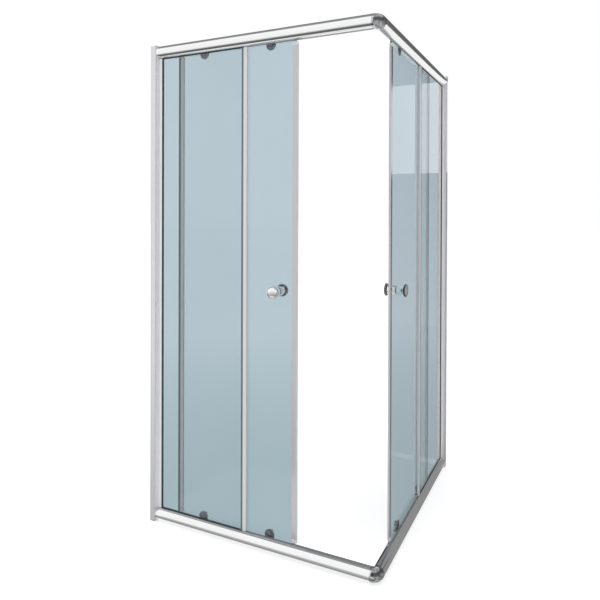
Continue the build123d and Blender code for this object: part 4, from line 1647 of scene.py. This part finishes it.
@dataclass
class Studio:
    """Camera, lights, floor and surroundings."""

    eye: Triple = (1.0426, -2.1304, 1.2036)
    yaw: float = -24.40
    pitch: float = -0.36
    roll: float = 0.21
    lens: float = 32.94
    shift: tuple[float, float] = (-0.0503, -0.1395)
    soft_light: Triple = (0.72, 0.72, 0.73)
    through_glass: Triple = (0.462, 0.574, 0.642)
    ahead: Pairs = (
        (-180, 0.9), (-78, 0.95), (-72, 0.12), (-46, 0.12), (-20, 0.95), (68, 1.0), (74, 0.30), (160, 0.15),
        (170, 0.5))
    aside: Pairs = (
        (-90, 0.45), (-45, 0.45), (-20, 0.45), (8, 0.14), (38, 0.10), (55, 0.45), (90, 0.50))
    ahead_limit: float = -0.12
    card_gap: float = 0.004
    front_card: float = 0.50
    side_card: float = 0.60
    wall_card: Triple = (0.30, 1.10, 0.52)
    wall_low: tuple[float, float] = (0.0, 0.65)
    wall_high: tuple[float, float] = (1.40, 1.84)
    mid_grey: float = 0.27
    high_tone: float = 0.95
    front_fade: tuple[float, float] = (0.25, 0.92)
    front_reach: float = 0.12
    card_level: tuple[float, float] = (-0.001, -0.0005)
    card_thickness: float = 0.001
    floor_size: float = 80.0
    floor_level: float = -0.002
    bounces: int = 24
    glass_bounces: int = 16

    def build(self, finishes: Finishes) -> None:
        """Set up the whole studio.

        Args:
            finishes: All materials.
        """
        self.camera()
        self.floor(finishes)
        self.cards()
        self.world()
        self.lights()
        view = bpy.context.scene.view_settings
        view.view_transform = "Standard"
        view.look = "None"
        cycles = bpy.context.scene.cycles
        cycles.max_bounces = self.bounces
        cycles.transmission_bounces = self.glass_bounces
        cycles.transparent_max_bounces = self.glass_bounces

    def camera(self) -> None:
        """Place the camera at the photograph's viewing angle."""
        yaw, pitch, roll = radians(self.yaw), radians(self.pitch), radians(self.roll)
        look = Vector((sin(yaw) * cos(pitch), cos(yaw) * cos(pitch), sin(pitch)))
        right = Vector((cos(yaw), -sin(yaw), 0))
        up = right.cross(look)
        turned = right * cos(roll) + up * sin(roll)
        data = bpy.data.cameras.new("camera")
        data.sensor_width = 36.0
        data.lens = self.lens
        data.shift_x, data.shift_y = self.shift
        data.clip_start = 0.05
        made = bpy.data.objects.new("camera", data)
        bpy.context.scene.collection.objects.link(made)
        upright = turned.cross(look)
        matrix = Matrix((turned, upright, -look)).transposed().to_4x4()
        matrix.translation = Vector(self.eye)
        made.matrix_world = matrix
        bpy.context.scene.camera = made

    def floor(self, finishes: Finishes) -> None:
        """Lay the plain pale floor.

        Args:
            finishes: All materials.
        """
        deselect()
        bpy.ops.mesh.primitive_plane_add(size=self.floor_size, location=(0, 0, self.floor_level))
        plane = fix_place(bpy.context.active_object, "floor")
        dress(plane, finishes.floor)
        plane.visible_glossy = False

    def cards(self) -> None:
        """Set glowing cards round the bottom rails, for what these mirror from below and behind."""
        face = -CORNER - self.card_gap
        under, over = self.card_level
        front = ReflectorCard("front_card", Along.Y, face, face - self.front_reach, *self.front_fade)
        self.card(front, (-CORNER, face - self.front_card, under), (CORNER, face, over))
        side = ReflectorCard("side_card", Along.X, -face, -face + self.side_card, self.mid_grey,
                             self.mid_grey)
        self.card(side, (-face, -CORNER, under), (-face + self.side_card, CORNER, over))
        left, right, back = self.wall_card
        walls = (("low_card", self.wall_low, self.mid_grey), ("high_card", self.wall_high, self.high_tone))
        for name, (low, high), tone in walls:
            wall = ReflectorCard(name, Along.Z, low, high, tone, tone)
            self.card(wall, (left, back, low), (right, back + self.card_thickness, high))

    def card(self, finish: ReflectorCard, low: Sequence[float], high: Sequence[float]) -> None:
        """Set up one card, seen by mirrored rays alone.

        Args:
            finish: Its glow, which gives it its name.
            low: Its lowest corner.
            high: Its highest corner.
        """
        piece = block(finish.name, low, high)
        dress(piece, finish.make())
        for ray in ("camera", "diffuse", "transmission", "shadow"):
            setattr(piece, f"visible_{ray}", False)

    def world(self) -> None:
        """White surroundings: plain to the camera, shaped for what polished metal mirrors."""
        world = bpy.data.worlds.new("studio")
        bpy.context.scene.world = world
        world.use_nodes = True
        tree = world.node_tree
        rays = add_node(tree, "LightPath").outputs
        tone = mix_colours(tree, rays["Is Glossy Ray"], (*self.soft_light, 1.0), self.mirrored(tree))
        tone = mix_colours(tree, rays["Is Transmission Ray"], tone, (*self.through_glass, 1.0))
        tone = mix_colours(tree, rays["Is Camera Ray"], tone, (1, 1, 1, 1))
        feed(tree, tree.nodes["Background"], Color=tone)

    def mirrored(self, tree: Tree) -> Socket:
        """Tones by direction that polished metal mirrors.

        Args:
            tree: The world's node tree.

        Returns:
            The tones' socket.
        """
        direction = add_node(tree, "TexCoord").outputs["Generated"]
        x, y, z = add_node(tree, "SeparateXYZ", Vector=direction).outputs
        forward = math_node(tree, "MULTIPLY", y, -1.0)
        ahead = self.ramp(tree, math_node(tree, "ARCTAN2", z, forward), self.ahead)
        squares = [math_node(tree, "MULTIPLY", side, side) for side in (x, y)]
        flat = math_node(tree, "SQRT", math_node(tree, "ADD", *squares), 0.0)
        aside = self.ramp(tree, math_node(tree, "ARCTAN2", z, flat), self.aside)
        return mix_colours(tree, remap(tree, x, self.ahead_limit, 0.0, 0.0, 1.0), ahead, aside)

    def ramp(self, tree: Tree, angle: Socket,
             stops: Sequence[tuple[float, float]]) -> Socket:
        """Grey tones by angle.

        Args:
            tree: The world's node tree.
            angle: The angle in radians, from minus pi to pi.
            stops: Angle in degrees and tone of each stop.

        Returns:
            The tones' socket.
        """
        made = add_node(tree, "ValToRGB", Fac=remap(tree, angle, -pi, pi, 0.0, 1.0))
        items = made.color_ramp.elements
        for index, (degrees, tone) in enumerate(stops):
            item = items[index] if index < 2 else items.new(1.0)
            item.position = (degrees + 180.0) / 360.0
            item.color = (tone, tone, tone, 1.0)
        return made.outputs["Color"]

    def lights(self) -> None:
        """Soft key, fill and top lights."""
        self.area("key", (-2.2, -3.4, 2.9), (0, 0, 0.9), (2.4, 2.4), 22.0)
        self.area("fill", (3.2, -1.6, 1.8), (0, 0, 0.9), (2.0, 2.2), 12.0)
        self.area("above", (0.0, 0.0, 4.2), (0, 0, 0.0), (3.0, 3.0), 24.0)

    def area(self, name: str, place: Sequence[float], target: Sequence[float], size: tuple[float, float],
             power: float) -> None:
        """Add an area light that looks at a point.

        Args:
            name: Name of the light.
            place: Where it stands.
            target: Where it looks.
            size: Width and height.
            power: Power in watts.
        """
        data = bpy.data.lights.new(name, "AREA")
        data.shape = "RECTANGLE"
        data.size, data.size_y = size
        data.energy = power
        made = bpy.data.objects.new(name, data)
        bpy.context.scene.collection.objects.link(made)
        made.location = place
        made.rotation_euler = (Vector(target) - Vector(place)).to_track_quat("-Z", "Y").to_euler()
        for ray in ("camera", "glossy", "transmission"):
            setattr(made, f"visible_{ray}", False)


def main() -> None:
    """Build the studio, the frame and the two doors, and report each piece."""
    logging.basicConfig(level=logging.INFO, format="%(name)s: %(message)s")
    finishes = Finishes()
    Studio().build(finishes)
    Enclosure(finishes).build()
    Doors(finishes).build()
    deselect()
    log.info("sizes written")


if __name__ == "__main__":
    main()
